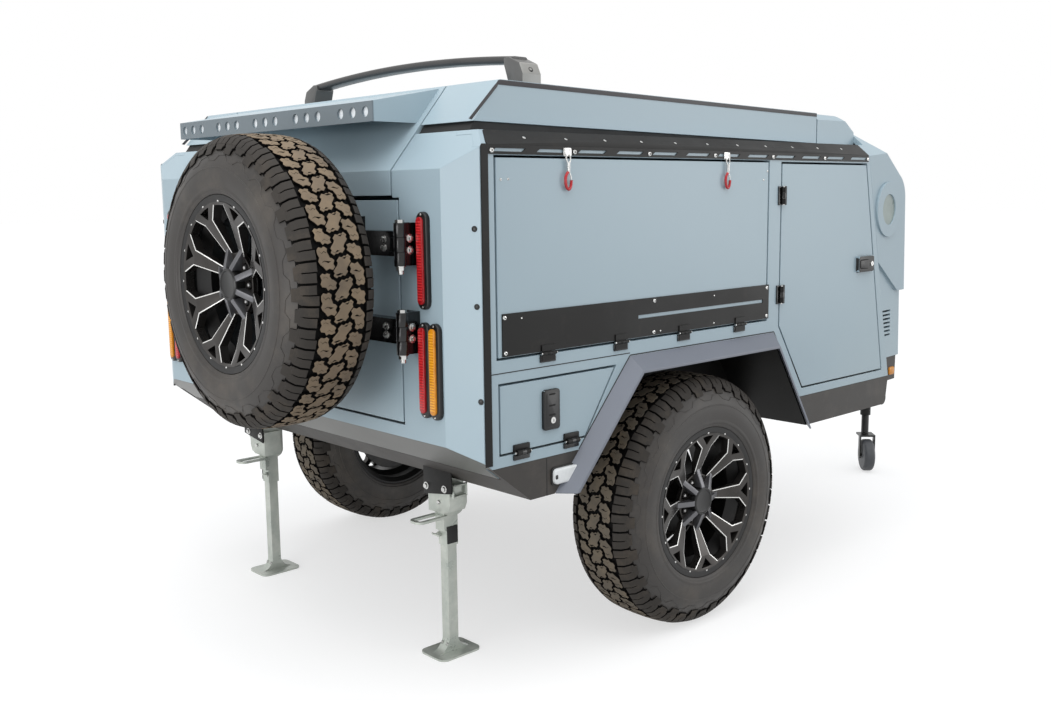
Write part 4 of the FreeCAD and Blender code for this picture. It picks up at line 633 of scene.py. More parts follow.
BOOT_CUTS = [[(-59, 18), (-52, 24), (-46, 19), (-40, 23)], [(-55, 46), (-47, 42), (-38, 47), (-30, 44)]]
BEAN_CUTS = [[(-57, 84), (-51, 80), (-43, 84)], [(-44, 104), (-38, 100), (-31, 105), (-26, 101)]]
Z_CUTS = [[(-22, 78), (-15, 81), (-9, 75), (-1, 77)], [(22, 38), (15, 35), (9, 41), (1, 39)]]
ROW_SHARE, MIDDLE_SHARE = 0.94, 0.90

tread = bmesh.new()
for outline in (BOOT, BEAN):
    for row in (outline, half_turned(outline)):
        tread_block(tread, slimmer(laid(row), ROW_SHARE), TOP, BLOCK_DEPTH, BLOCK_WORN)
for shift in (0, REPEAT / 2):
    tread_block(tread, slimmer(laid(Z_BLOCK, shift), MIDDLE_SHARE), TOP, BLOCK_DEPTH, BLOCK_WORN)
# The cuts are strips of near-black groove rubber at the tread's surface: painted shade standing for narrow
# cuts
for line in BOOT_CUTS + BEAN_CUTS:
    for row in (slit(line), half_turned(slit(line))):
        tread_block(tread, laid(row), GROOVE, CUT_DEPTH)
for line in Z_CUTS:
    for shift in (0, REPEAT / 2):
        tread_block(tread, laid(slit(line), shift), GROOVE, CUT_DEPTH)

# Shoulder lugs: two narrow halves with a slot between, stepped at the tread, joined on the side wall.
# The two lugs of a repeat start at these distances from the middle and end at the last one.
LUGS = ((72, 69, 130), (68, 74, 141))
LEFT_ROW_AHEAD = 22
for side in (-1, 1):
    for n, (near, far, end) in enumerate(LUGS):
        start = n * REPEAT / 2 + (0 if side < 0 else LEFT_ROW_AHEAD)
        first_half = [(0, near), (23.4, near), (23.9, 114), (0, 114)]
        second_half = [(26.6, far), (49.6, far), (49.6, 114), (26.1, 114)]
        foot = [(1, 108), (48.6, 108), (48.6, 119), (43, 123), (43, end), (7, end), (7, 123), (1, 119)]
        for outline, worn in ((first_half, 0.0), (second_half, 0.0), (foot, LUG_WORN)):
            tread_block(tread, [(start + u, side * v) for u, v in outline], LUG, LUG_DEPTH, worn)
one_repeat = everything(tread)
for n in range(1, REPEATS):
    again = bmesh.ops.duplicate(tread, geom=one_repeat)["geom"]
    bmesh.ops.rotate(tread, cent=(0, 0, 0), matrix=Matrix.Rotation(n * 2 * math.pi / REPEATS, 3, "Z"),
                     verts=corners(again))

# Carcass below the blocks, with a rim guard rib and thin moulding lines on its side walls
WALL_OUTSIDE = [
    (216.5, 96), (217, 103), (229, 110), (233.6, 111), (234, 118), (238, 121.5), (243, 122.5),
    (246, 125.4), (250, 126.6), (254, 125.6), (257, 126.2), (270, 128.0), (281, 128.8), (292, 128.2),
    (299, 127.4), (300, 128.2), (302, 128.0), (303, 126.6), (312, 124.8), (322, 120.5), (334, 114.0),
    (348, 105.0), (360, 94.0), (368, 84.0), (373, 72), (376, 50), (377.5, 22), (378, 0)]
WALL_INSIDE = [(368, 0), (364, 72), (352, 86), (322, 107), (285, 116), (253, 111), (216.5, 80)]
GROOVE_FLOOR_FROM = 0.345
other_outside = [(r, -z) for r, z in WALL_OUTSIDE[-2::-1]]
other_inside = [(r, -z) for r, z in WALL_INSIDE[::-1]]
turned(tread, WALL_OUTSIDE + other_outside + other_inside + WALL_INSIDE[1:], CENTRE, UP, WALL, 120, True)
# Groove floors between the blocks take the near-black groove rubber: painted shade
for face in tread.faces:
    if face.material_index == WALL and face.calc_center_median().to_2d().length > GROOVE_FLOOR_FROM:
        face.material_index = GROOVE

# A raised line that steps up and down round the upper side wall: part of a repeat, radius and width
STEPS = ((0.0, 333, 114.6), (0.3, 331, 115.8), (0.46, 318, 122.4), (0.8, 320, 121.4))
LINE_R = 1.3
for side in (-1, 1):
    line = []
    for n in range(REPEATS):
        for part_way, r, z in STEPS:
            a = 2 * math.pi * (n + part_way) / REPEATS
            line.append(Vector((r * math.cos(a), r * math.sin(a), side * z)) / 1000)
    wire(tread, line, LINE_R, WALL, True, False, 1)

WHEELS = (("right", at(0, -WHEEL_Y, TYRE_R), RIGHT), ("left", at(0, WHEEL_Y, TYRE_R), LEFT))
tyre_finish = [groove_rubber, tread_rubber, lug_rubber, rubber]
spare_finish = [groove_rubber, clay_rubber, lug_rubber, rubber]
for side, place, out in WHEELS:
    put("tyre_" + side + "_moulded", tread, place, out, tyre_finish, "wheel_" + side,
        ["tyre_" + side])
put("spare_tyre_moulded", tread, at(*SPARE), BACK, spare_finish, "rear_door", ["spare_tyre"])
tread.free()

# Wheels
SPOKES = 8
HALF = math.pi / SPOKES
SPOKE_ANGLE = math.degrees(HALF)
# Materials of a wheel after its paint, in the order of its list
CUT, CAP, BARREL, STEEL, FIN = range(1, 6)
# Radius and height of the disc's front where the hub floor ends, where the spokes bend and at the rim
HUB_R, KINK_R, DISC_R = 82, 172, 214
HUB_FRONT, KINK_FRONT, RIM_FRONT = 72.0, 110.0, 117.0
HUB_THICK, SPOKE_THICKER, THICKER_OVER = 9, 15, 60
NUT_CIRCLE, NUT_POCKET = 62.0, 12.5
# The cut edge of a window, in metres, and the radii and degrees between which it is bright
CUT_WIDE, CUT_PROUD = 0.0027, 0.0007
CUT_RADII, CUT_DEGREES = (0.083, 0.2065), (6.6, 15.8)
# How near a point lies to a border line, in radians, and where the rim's border starts, in metres
LINE_NEAR, RIM_BORDER = 1e-4, 0.2149
# Faces that lie less than this many millimetres under the disc's front belong to it
FRONT_NEAR = 4


def spoke_front(r):
    """The front of the wheel disc: a flat hub floor, then spokes that rise to the rim."""
    if r < KINK_R:
        return HUB_FRONT + max(0.0, r - HUB_R) / (KINK_R - HUB_R) * (KINK_FRONT - HUB_FRONT)
    return KINK_FRONT + (r - KINK_R) / (DISC_R - KINK_R) * (RIM_FRONT - KINK_FRONT)


def spoke_thickness(r):
    """The wheel disc is thin at the hub and gets thicker along the spokes."""
    return HUB_THICK + SPOKE_THICKER * min(1.0, max(0.0, r - HUB_R) / THICKER_OVER)


def polar(r, degrees):
    """A place in the wheel's plane from its radius and angle."""
    return (r * math.cos(math.radians(degrees)), r * math.sin(math.radians(degrees)))


def on_border(v):
    """True on the lines where one half sector meets the next, and at the rim."""
    a = math.atan2(v.co.y, v.co.x)
    return abs(a) < LINE_NEAR or abs(a - HALF) < LINE_NEAR or v.co.to_2d().length > RIM_BORDER


# Half of one spoke, from the middle of a window to the middle of the spoke, seen from the front
nut_hole = [(NUT_CIRCLE + u, v) for u, v in (polar(NUT_POCKET, 15 * i) for i in range(13))]
half_spoke = [
    polar(34, 0), polar(34, 11), polar(34, SPOKE_ANGLE), polar(94, SPOKE_ANGLE), polar(178, SPOKE_ANGLE),
    polar(207, 15.5), polar(207, SPOKE_ANGLE), polar(215, SPOKE_ANGLE), polar(215, 11.25), polar(215, 0),
    polar(206, 0), polar(206, 7), polar(172, 15), polar(82, 14), polar(81, 7), polar(80.5, 0)] + nut_hole
sector = bmesh.new()
thicken(sector, [(x, y, 0) for x, y in half_spoke], Vector((0, 0, 1)))
spoke_way = Vector((*polar(1, SPOKE_ANGLE), 0))
for distance in (82, 125, 170):
    bmesh.ops.bisect_plane(sector, geom=everything(sector), dist=0.01, plane_co=spoke_way * distance,
                           plane_no=spoke_way)
for v in sector.verts:
    r = v.co.to_2d().length
    v.co.z = spoke_front(r) - (0 if v.co.z > 0.5 else spoke_thickness(r))
bmesh.ops.scale(sector, vec=(0.001, 0.001, 0.001), verts=sector.verts)
inner_faces = [f for f in sector.faces if abs(f.normal.z) < 0.5 and all(on_border(v) for v in f.verts)]
bmesh.ops.delete(sector, geom=inner_faces, context="FACES_ONLY")
front_faces = []
for face in sector.faces:
    face.normal_update()
    middle = face.calc_center_median()
    if face.normal.z > 0.5 and middle.z * 1000 > spoke_front(middle.to_2d().length * 1000) - FRONT_NEAR:
        front_faces.append(face)
strips = bmesh.ops.inset_region(sector, faces=front_faces, use_boundary=False, use_even_offset=True,
                                thickness=CUT_WIDE, depth=CUT_PROUD)["faces"]
for face in strips:
    middle = face.calc_center_median()
    degrees = math.degrees(math.atan2(middle.y, middle.x))
    between = CUT_RADII[0] < middle.to_2d().length < CUT_RADII[1]
    if between and CUT_DEGREES[0] < degrees < CUT_DEGREES[1]:
        face.material_index = CUT
bmesh.ops.mirror(sector, geom=everything(sector), merge_dist=0.00005, axis="Y")
bmesh.ops.recalc_face_normals(sector, faces=sector.faces)
disc = bmesh.new()
for n in range(SPOKES):
    spoke = sector.copy()
    bmesh.ops.rotate(spoke, cent=(0, 0, 0), matrix=Matrix.Rotation(n * 2 * HALF, 3, "Z"),
                     verts=spoke.verts)
    join(disc, spoke)
sector.free()
bmesh.ops.remove_doubles(disc, verts=disc.verts, dist=0.00005)

# Barrel with its lip, floor under the nuts, and the cap with a shallow dish
BARREL_PROFILE = [
    (214, 80), (214, 116.5), (218, 117.6), (226, 117.8), (228, 118), (232, 118), (233, 117), (233, 111),
    (216, 104), (214, 72), (196, 52), (196, -52), (214, -72), (216, -104), (233, -111), (233, -118),
    (226, -118), (209, -104), (207, -72), (189, -50), (189, 50), (207, 70)]
FLOOR_PROFILE = [(0, 62.5), (84, 62.5), (84, 58), (0, 58)]
CAP_PROFILE = [(40, 66), (43.5, 84), (44, 96), (42, 101), (38.5, 103.5), (35.5, 103.5), (34, 101),
               (32.5, 100.4), (0, 100)]
turned(disc, BARREL_PROFILE, CENTRE, UP, BARREL, 96, True)
turned(disc, FLOOR_PROFILE, CENTRE, UP, BARREL, 48)
turned(disc, CAP_PROFILE, CENTRE, UP, CAP, 48)

# A nut in each window, and a fin that runs from under the cap down to the root of each spoke
FIN_SIDE = [(36, 64), (36, 101), (46, 100), (92, 80), (106, 77), (106, 64)]
FIN_THICK = 0.016
for n in range(SPOKES):
    nut = Vector((*polar(1, n * 2 * SPOKE_ANGLE), 0)) * (NUT_CIRCLE / 1000)
    rod(disc, nut + Vector((0, 0, 0.060)), UP, 9.2, 15, 1.5, STEEL, 6)
    rod(disc, nut + Vector((0, 0, 0.074)), UP, 4.2, 3.0, 0.8, CUT, 12)
    fin = bmesh.new()
    thicken(fin, [(r / 1000, -FIN_THICK / 2, z / 1000) for r, z in FIN_SIDE], Vector((0, FIN_THICK, 0)))
    soften(fin, edges_above(fin, 0.076), 1.4)
    join(disc, fin, FIN, Matrix.Rotation((2 * n + 1) * HALF, 4, "Z"))

# Small round rivets along the rim
RIVET_CIRCLE, RIVET_FRONT = 0.2158, 0.1165
for n in range(2 * SPOKES):
    rivet = Vector((*polar(1, n * SPOKE_ANGLE), 0)) * RIVET_CIRCLE + Vector((0, 0, RIVET_FRONT))
    turned(disc, [(3.6, -1), (3.6, 0.4), (2.8, 1.1), (0, 1.4)], rivet, UP, CUT, 12)

# The wheels on the axle have a hub behind the disc; the spare one has none
HUB_PROFILE = [(22, -76), (172, -76), (174, -74), (172, -70), (118, -66), (118, 0), (112, 4), (62, 10),
               (62, 62), (0, 62)]
SHARP_FROM = 30
hubbed = disc.copy()
turned(hubbed, HUB_PROFILE, CENTRE, UP, STEEL, 48)
wheel_finish = [rim_black, cut_alloy, plastic, barrel_black, chassis_coat, fin_coat]
for side, place, out in WHEELS:
    put("rim_" + side + "_cast", hubbed, place, out, wheel_finish, "wheel_" + side,
        ["rim_" + side], SHARP_FROM, HALF)
put("spare_rim_cast", disc, at(*SPARE), BACK, wheel_finish, "rear_door", ["spare_rim"],
    SHARP_FROM)
disc.free()
hubbed.free()

# Tail lamps: depths in front of the rear frame, and how much smaller the lens is than its case
CASE_DEEP, LENS_FROM, LENS_DEEP, CHIPS_FROM = 12, 11, 7, 17.6
LENS_SHARE, LENS_SHORTER, LENS_ASIDE = 0.56, 26, 3
CHIP_STEP, CHIPS_SHORTER, CHIP_HIGH = 7, 44, 3.4
# Materials of lamp cases and latches, and of lenses, in the order of their lists
MOULDED, METAL, DARK = range(3)
LENS, CHIP = range(2)


def lamp(case, lens, y, low, high, width):
    """A slim upright lamp with round ends: case, raised lens and its row of chips."""
    middle = (low + high) / 2
    tall = high - low
    lens_width = width * LENS_SHARE
    lens_y = -y + LENS_ASIDE
    plate(case, rounded(width, tall, width / 2 - 0.5, 8), at(REAR, -y, middle), CASE_DEEP, 4, MOULDED,
          LEFT, BACK, 3)
    plate(lens, rounded(lens_width, tall - LENS_SHORTER, lens_width / 2 - 0.5),
          at(REAR - LENS_FROM, lens_y, middle), LENS_DEEP, 2.6, LENS, LEFT, BACK)
    rows = int((tall - CHIPS_SHORTER) / CHIP_STEP)
    for i in range(rows):
        z = middle + (i - (rows - 1) / 2) * CHIP_STEP
        plate(lens, rounded(lens_width - 6, CHIP_HIGH, 1.2, 2), at(REAR - CHIPS_FROM, lens_y, z), 0.9,
              0.4, CHIP, LEFT, BACK, 1)
    for z in (low + 7, high - 7):
        button(case, at(REAR - CASE_DEEP, -y, z), BACK, 3.0, METAL)


case, red, amber = bmesh.new(), bmesh.new(), bmesh.new()
lamp(case, red, 701.5, 1040, 1287, 44)
lamp(case, red, 698.5, 759, 1007, 42.5)
lamp(case, amber, 741.5, 759, 1007, 42.5)
pair("tail_lamp_cases", case, [plastic, stainless], "trailer", ["tail_lamp_housings"])
pair("tail_lamp_lenses_red", red, [red_lens, led_red], "trailer", ["tail_lamps_red"])
pair("tail_lamp_lenses_amber", amber, [amber_lens, led_amber], "trailer",
     ["tail_lamps_amber"])

# Side marker: a pale rounded lens between two dark screw ends
MARKER_X, MARKER_Z = -579, 581
BASE = 1
marker = bmesh.new()
plate(marker, rounded(116, 49, 9), at(MARKER_X, -SIDE, MARKER_Z), 4, 1.5, BASE)
plate(marker, rounded(108, 42, 12), at(MARKER_X, -SIDE - 3, MARKER_Z), 10.5, 4, LENS, segments=3)
for end in (-48, 48):
    plate(marker, rounded(9, 12, 3), at(MARKER_X + end, -SIDE - 13.2, MARKER_Z), 0.6, 0.2, BASE)
pair("side_marker_lenses", marker, [white_lens, plastic], "trailer", ["side_markers"])

# Nose marker: a small amber lens on the nose shell
nose_marker = bmesh.new()
plate(nose_marker, rounded(40, 30, 8), at(1200, -842, 646), 8, 3, LENS)
pair("nose_marker_lenses", nose_marker, [amber_lens], "trailer")

# Crossbar on the lid: an arched bar on two feet, its rise taken at the middle and near the ends
BAR_X, BAR_BASE, BAR_HALF = -412.0, 1611.9, 535.0
BAR_RISE, BAR_END_RISE = 122.0, 98.0
BAR_DROP = BAR_RISE - BAR_END_RISE
BAR_REACH, BAR_ARCH = BAR_HALF - 10, BAR_HALF - 21
BAR_RINGS = 25
BAR_SECTION = rounded(60, 22, 9, 3)
# Materials of the crossbar, in the order of its list
ARCH, COVER, RECESS, FOOT = range(4)
bar = bmesh.new()
rings = []
for i in range(BAR_RINGS):
    y = (2 * i / (BAR_RINGS - 1) - 1) * BAR_REACH
    z = BAR_BASE + BAR_RISE - BAR_DROP * (y / BAR_ARCH) ** 2
    lean = math.atan2(-2 * BAR_DROP * y, BAR_ARCH ** 2)
    stand = Matrix.Translation(at(BAR_X, y, z)) @ Matrix.Rotation(lean, 4, "X")
    rings.append([bar.verts.new(stand @ Vector((u / 1000, 0, v / 1000))) for u, v in BAR_SECTION])
loops = [[bar.edges.new((ring[k - 1], ring[k])) for k in range(len(ring))] for ring in rings]
for one, two in zip(loops[:-1], loops[1:]):
    bmesh.ops.bridge_loops(bar, edges=one + two)
bmesh.ops.holes_fill(bar, edges=bar.edges, sides=40)
bmesh.ops.recalc_face_normals(bar, faces=bar.faces)

# Its feet: a smooth tower with a sloping outer shoulder, a screw recess and a dark wedge under it
TOWER = [(-8, -4), (41, -4), (41, 56), (27, 86), (-22, 107), (-41, 104), (-41, 86), (-24, 44)]
TOWER_THICK = 0.072
RECESS_PROFILE = [(8, -1), (8, 0.6), (6.5, 1.2), (5.5, 0.2), (0, 0.2)]
for side in (-1, 1):
    tower = bmesh.new()
    thicken(tower, [(-TOWER_THICK / 2, side * u / 1000, v / 1000) for u, v in TOWER],
            Vector((TOWER_THICK, 0, 0)))
    soften(tower, [e for e in tower.edges if any(v.co.z > 0.05 for v in e.verts)], 9, 4)
    for face in tower.faces:
        face.material_index = COVER if face.normal.y * side > 0.4 else FOOT
    join(bar, tower, None, Matrix.Translation(at(BAR_X, side * BAR_HALF, BAR_BASE)))
    block(bar, at(BAR_X - 36, side * BAR_HALF - 42, BAR_BASE - 9),
          at(BAR_X + 36, side * BAR_HALF + 42, BAR_BASE + 3), 2, ARCH, 3)
    shoulder = Vector((0, side * 0.88, 0.47)).normalized()
    turned(bar, RECESS_PROFILE, at(BAR_X, side * (BAR_HALF + 35), BAR_BASE + 68), shoulder, RECESS, 20)
piece("crossbar_moulded", bar, [bar_black, bar_satin, dark_inside, foot_grey], "roof_lid",
      ["roof_bar"], 50)

# Fasteners along the rails: button screws on the face, rivets on the slanted shoulder
SCREWS_X, SCREWS_Z = (-832, -543, -243, 57, 357, 657, 935), 1434.5
RIVETS_X, RIVETS_Z = range(-699, 802, 150), 1467
# Materials of screws and of their sockets, in the order of their lists
SCREW, SOCKET = range(2)
fixings = bmesh.new()
for x in SCREWS_X:
    button(fixings, at(x, -SIDE - 3, SCREWS_Z), RIGHT, 6.5, SCREW, SOCKET)
shoulder_out = Vector((0, -40, 48)).normalized()
for x in RIVETS_X:
    place = at(x, -SIDE + 24, RIVETS_Z) + shoulder_out * 0.001
    rod(fixings, place, shoulder_out, 5.0, 2.0, 0.8, SCREW, 12)
pair("rail_fixings", fixings, [stainless, dark_inside], "trailer")

# Fasteners on the side hatch: on the panel, and large and small ones on its black plates
PANEL_SCREWS = ((-801, 1364), (-776, 1365), (311, 1363), (331, 1390))
PLATE_SCREWS = ((-797.5, 1021), (-795.6, 931), (-219.5, 1021), (-222, 931), (335, 1021), (335, 931))
SMALL_SCREWS = ((-739, 1016), (-192, 932), (60, 1016), (60, 932))
hatch_fixings = bmesh.new()
for x, z in PANEL_SCREWS:
    button(hatch_fixings, at(x, -SIDE, z), RIGHT, 3.6, SCREW, SOCKET)
for x, z in PLATE_SCREWS:
    button(hatch_fixings, at(x, -SIDE - 3, z), RIGHT, 6.0, SCREW, SOCKET)
for x, z in SMALL_SCREWS:
    button(hatch_fixings, at(x, -SIDE - 3, z), RIGHT, 2.6, SCREW)
pair("hatch_fixings", hatch_fixings, [stainless, dark_inside], "side_hatch_")

# Strap hooks that hang from the rail: a plate, a steel eye, a swivel, and a red hook with its keeper
HOOKS_X = (-571, 114)
EYE_POINTS = ((-7, 6, 1428), (-9, 8, 1414), (0, 9, 1404), (9, 8, 1414), (7, 6, 1428))
HOOK_POINTS = ((0, 1384), (-11, 1376), (-12, 1352), (-2, 1336), (9, 1344), (10, 1362))
KEEPER_POINTS = ((0, 1384), (9, 1377), (9, 1364))
HOOK_Y = -SIDE - 8.5
# Materials of the hooks, in the order of their list
PALE, RED = range(2)
hooks = bmesh.new()
for x in HOOKS_X:
    for dx in (-9, 9):
        button(hooks, at(x + dx, -SIDE - 3, 1440), RIGHT, 4.6, PALE)
    plate(hooks, rounded(30, 22, 5), at(x, -SIDE - 3, 1434), 2.0, 0.5, PALE)
    wire(hooks, [at(x + dx, -SIDE - out, z) for dx, out, z in EYE_POINTS], 2.0, PALE)
    rod(hooks, at(x, HOOK_Y, 1408), -UP, 4.5, 26, 1.0, PALE, 12)
    wire(hooks, [at(x + dx, HOOK_Y, z) for dx, z in HOOK_POINTS], 4.0, RED)
    wire(hooks, [at(x + dx, HOOK_Y, z) for dx, z in KEEPER_POINTS], 2.0, PALE)
pair("strap_hooks", hooks, [stainless, hook_red], "trailer")


def key_barrel(bm, x, y, z):
    """A round lock that stands out from y, with its key slot."""
    turned(bm, [(9, 0), (9, 2.6), (7.5, 3.6), (0, 3.6)], at(x, y, z), RIGHT, METAL, 24)
    plate(bm, rounded(2, 8, 0.9), at(x, y - 3.5, z), 0.3, 0.05, DARK)


# Latch of the small door: an upright plate with three slots and a lock
LATCH_X, LATCH_Z = -638, 765.5
latch = bmesh.new()
plate(latch, rounded(60, 108, 9), at(LATCH_X, -SIDE, LATCH_Z), 9, 2.5, MOULDED, segments=3)
for z in (807, 777, 752):
    plate(latch, rounded(24, 5, 2.4), at(LATCH_X, -SIDE - 8.6, z), 0.8, 0.2, DARK)
plate(latch, rounded(44, 92, 7), at(LATCH_X, -SIDE - 8.4, LATCH_Z), 0.9, 0.4, MOULDED)
key_barrel(latch, -636, -SIDE - 9, 737)
pair("small_door_latches", latch, [plastic, stainless, dark_inside], "small_door_")

# Latch of the front door: a paddle in a recess beside its lock
PADDLE_X, PADDLE_Z = 918, 1067
PADDLE = [(-28, -13), (24, -15), (29, -8), (29, 8), (24, 15), (-28, 13)]
paddle = bmesh.new()
plate(paddle, rounded(104, 58, 9), at(935, -SIDE, PADDLE_Z), 5, 2, MOULDED)
plate(paddle, rounded(103, 57, 10), at(935, -SIDE - 4, PADDLE_Z + 0.5), 9.5, 4, MOULDED, segments=3)
plate(paddle, rounded(58, 34, 8), at(PADDLE_X, -SIDE - 13, PADDLE_Z), 1.2, 0.5, DARK)
plate(paddle, PADDLE, at(PADDLE_X, -SIDE - 13.2, PADDLE_Z), 3.0, 1.2, MOULDED)
key_barrel(paddle, 967, -SIDE - 13.4, PADDLE_Z)
pair("front_door_latches", paddle, [plastic, stainless, dark_inside], "front_door_")

# Hinges: black leaves over the painted stubs, a sleeve round the knuckle that rides on the door,
# and on the trailer the other leaves and the pins
HATCH_HINGES_X = (-646, -362, -84, 192)
SMALL_DOOR_HINGES_X = (-744, -561)
FRONT_DOOR_HINGES_Z = (1313, 994)
SMALL_DOOR_PIN_Z, FRONT_DOOR_PIN_X = 669.5, 411.5
PIN_Y = -SIDE - 8
PIN_R, SLEEVE_R = 3.4, 8.15
# Materials of leaves, and of sleeves and pins, in the order of their lists
LEAF, PIN = range(2)
leaves = bmesh.new()
for x in SMALL_DOOR_HINGES_X:
    plate(leaves, rounded(56, 19, 2), at(x, -SIDE, 681), 5.2, 1.0, LEAF)
    rod(leaves, at(x - 7.3, PIN_Y, SMALL_DOOR_PIN_Z), FORWARD, SLEEVE_R, 14.6, 0.3, PIN, 24)
pair("small_door_hinge_leaves", leaves, [black_coat, hinge_black], "small_door_")
leaves = bmesh.new()
for z in FRONT_DOOR_HINGES_Z:
    plate(leaves, rounded(20, 60, 2), at(425, -SIDE, z), 5.2, 1.0, LEAF)
    rod(leaves, at(FRONT_DOOR_PIN_X, PIN_Y, z - 9), UP, SLEEVE_R, 18, 0.3, PIN, 24)
pair("front_door_hinge_leaves", leaves, [black_coat, hinge_black], "front_door_")
pins = bmesh.new()
for hinges_x, height, leaf_z, pin_z in ((HATCH_HINGES_X, 20, 903, 917),
                                        (SMALL_DOOR_HINGES_X, 15, 657, SMALL_DOOR_PIN_Z)):
    for x in hinges_x:
        plate(pins, rounded(56, height, 2), at(x, -SIDE, leaf_z), 4.4, 1.0, LEAF)
        rod(pins, at(x - 29, PIN_Y, pin_z), FORWARD, PIN_R, 58, 0.8, PIN, 14)
for z in FRONT_DOOR_HINGES_Z:
    plate(pins, rounded(17, 60, 2), at(400, -SIDE, z), 4.4, 1.0, LEAF)
    rod(pins, at(FRONT_DOOR_PIN_X, PIN_Y, z - 30), UP, PIN_R, 60, 0.8, PIN, 14)
pair("hinge_pins", pins, [hinge_black, stainless], "trailer")

# Joints between the side panels, and round the flare's seat, where they stop short of its lower ends
SEAM_PROUD, SEAM_WIDE = 0.5, 3.2
LOW_END, LEFT_OUT = 600, 0.31
seams = bmesh.new()
for outline in (rectangle(-842, 879.6, -321, 882.2), rectangle(-652.8, 533, -650.2, 636)):
    plate(seams, outline, at(0, -SIDE, 0), SEAM_PROUD, 0, 0)
for (x0, z0), (x1, z1) in zip(FLARE_SEAT[:-1], FLARE_SEAT[1:]):
    if z0 < LOW_END:
        x0, z0 = x0 + (x1 - x0) * LEFT_OUT, z0 + (z1 - z0) * LEFT_OUT
    if z1 < LOW_END:
        x1, z1 = x1 - (x1 - x0) * LEFT_OUT, z1 - (z1 - z0) * LEFT_OUT
    along = Vector((x1 - x0, 0, z1 - z0)).normalized()
    length = math.hypot(x1 - x0, z1 - z0)
    plate(seams, rectangle(0, 0, length, SEAM_WIDE), at(x0, -SIDE, z0), SEAM_PROUD, 0, 0, across=along)
pair("panel_seams", seams, [seal_rubber], "trailer")

# Plugs in the slanted corner faces
PLUGS_AT = ((-874.7, -852.5, 1245), (-873.5, -855.2, 1054), (-871.0, -861.0, 816))
corner_out = Vector((-100, -43, 0)).normalized()
plugs = bmesh.new()
for x, y, z in PLUGS_AT:
    turned(plugs, [(7.5, 0), (7.5, 1.0), (5.5, 2.2), (0, 2.6)], at(x, y, z), corner_out, 0, 20)
pair("corner_plugs", plugs, [plastic], "trailer")

# Dark edging along the lid's upper side edges: down the slanted corner, and forwards along the edge
CORNER_EDGING = [(-726, 1604), (-735.5, 1604), (-826, 1515), (-816, 1513), (-729, 1598)]
LONG_EDGING = [(-735, 1603.5), (745, 1579.5), (745, 1590.5), (-718.7, 1615.5), (-724.5, 1615)]
edging = bmesh.new()
for outline in (CORNER_EDGING, LONG_EDGING):
    plate(edging, outline, at(0, -780, 0), 1.2, 0.3, 0)
pair("lid_edging", edging, [guard_coat], "roof_lid")

# Bolts on wide washers in the rear hinges' brackets and in the arms of the carrier, and the hinge
# pins' heads and nuts above and below each hinge
REAR_HINGES_Z = (1206.0, 980.0)
WIDE_WASHER = [(11, 0), (11, 1.6), (0, 1.6)]
rear_bolts = bmesh.new()
arm_bolts = bmesh.new()
for z in REAR_HINGES_Z:
    for dz in (-15, 15):
        turned(rear_bolts, WIDE_WASHER, at(-937.5, -674, z + dz), RIGHT, 0, 20)
        bolt(rear_bolts, at(-937.5, -675.5, z + dz), RIGHT, 11)
    for dz in (-11, 11):
        turned(arm_bolts, WIDE_WASHER, at(REAR - 36, -577, z + dz), BACK, 0, 20)
        bolt(arm_bolts, at(REAR - 37.5, -577, z + dz), BACK, 12)
    for dz, way, radius, length, end, sides in ((54, UP, 12, 8, 1.0, 6), (-54, -UP, 13, 2, 0.5, 20),
                                                (-56, -UP, 12, 9, 1.0, 6), (-65, -UP, 7.5, 10, 1.0, 16)):
        rod(rear_bolts, at(REAR - 54, -670, z + dz), way, radius, length, end, 0, sides)
piece("rear_hinge_bolts", rear_bolts, [stainless], "trailer")
piece("carrier_bolts", arm_bolts, [stainless], "rear_door")

# Stabilisers: a black mount plate, the zinc swing bracket under it, its staple, a rubber grip, a
# sprung pin, and two small bolts at the foot
MOUNT_PLATE = [(-61, -42), (64, -22), (64, 40), (-61, 40)]
SWING_BRACKET = [(-54, -92), (14, -92), (35, -83), (44, -62), (44, -8), (-54, -8)]
STAPLE = ((-729, 516), (-729, 484), (-682, 484), (-682, 516))
# Materials of the stabilisers' pieces, in the order of their list
BLACK, ZINC, STAINLESS, GRIP = range(4)
mounts = bmesh.new()
plate(mounts, MOUNT_PLATE, at(-741, -516, 520), 5, 1.0, BLACK, RIGHT, BACK)
plate(mounts, SWING_BRACKET, at(-672, -516, 520), 64, 2.0, ZINC, RIGHT, BACK)
for y, z in ((-468, 503.4), (-550, 507.4)):
    bolt(mounts, at(-746, y, z), BACK, 13, material=STAINLESS)
button(mounts, at(-738, -512, 461), BACK, 6.0, STAINLESS)
wire(mounts, [at(x, -568, z) for x, z in STAPLE], 5.0, ZINC, True, False)
block(mounts, at(-716, -523.5, 333), at(-678, -519, 384), 1.2, GRIP)
rod(mounts, at(-716, -486, 357), BACK, 7.0, 9, 1.5, ZINC, 16)
wire(mounts, [at(-727, -500, 357), at(-729, -486, 357), at(-727, -466, 356)], 3.0, ZINC)
for y in (-511, -489):
    bolt(mounts, at(-713.5, y, 29), BACK, 9, False, STAINLESS)
pair("stabiliser_mounts", mounts, [black_coat, zinc, stainless, seal_rubber], "trailer")

# Vents: a dark mesh box behind the slots in the nose, painted shade for the hollow inside
backing = bmesh.new()
block(backing, at(1088, -838, 780), at(1182, -826, 886), 1)
pair("vent_backing", backing, [dark_inside], "trailer")

# A pale strip behind the holes in the visor's lip, its white painted light for the daylight seen through
# them
strip = bmesh.new()
block(strip, at(-938, -530, 1526), at(-935, 530, 1562), 0.6)
piece("visor_strip", strip, [daylight_strip_painted], "rear_hatch")


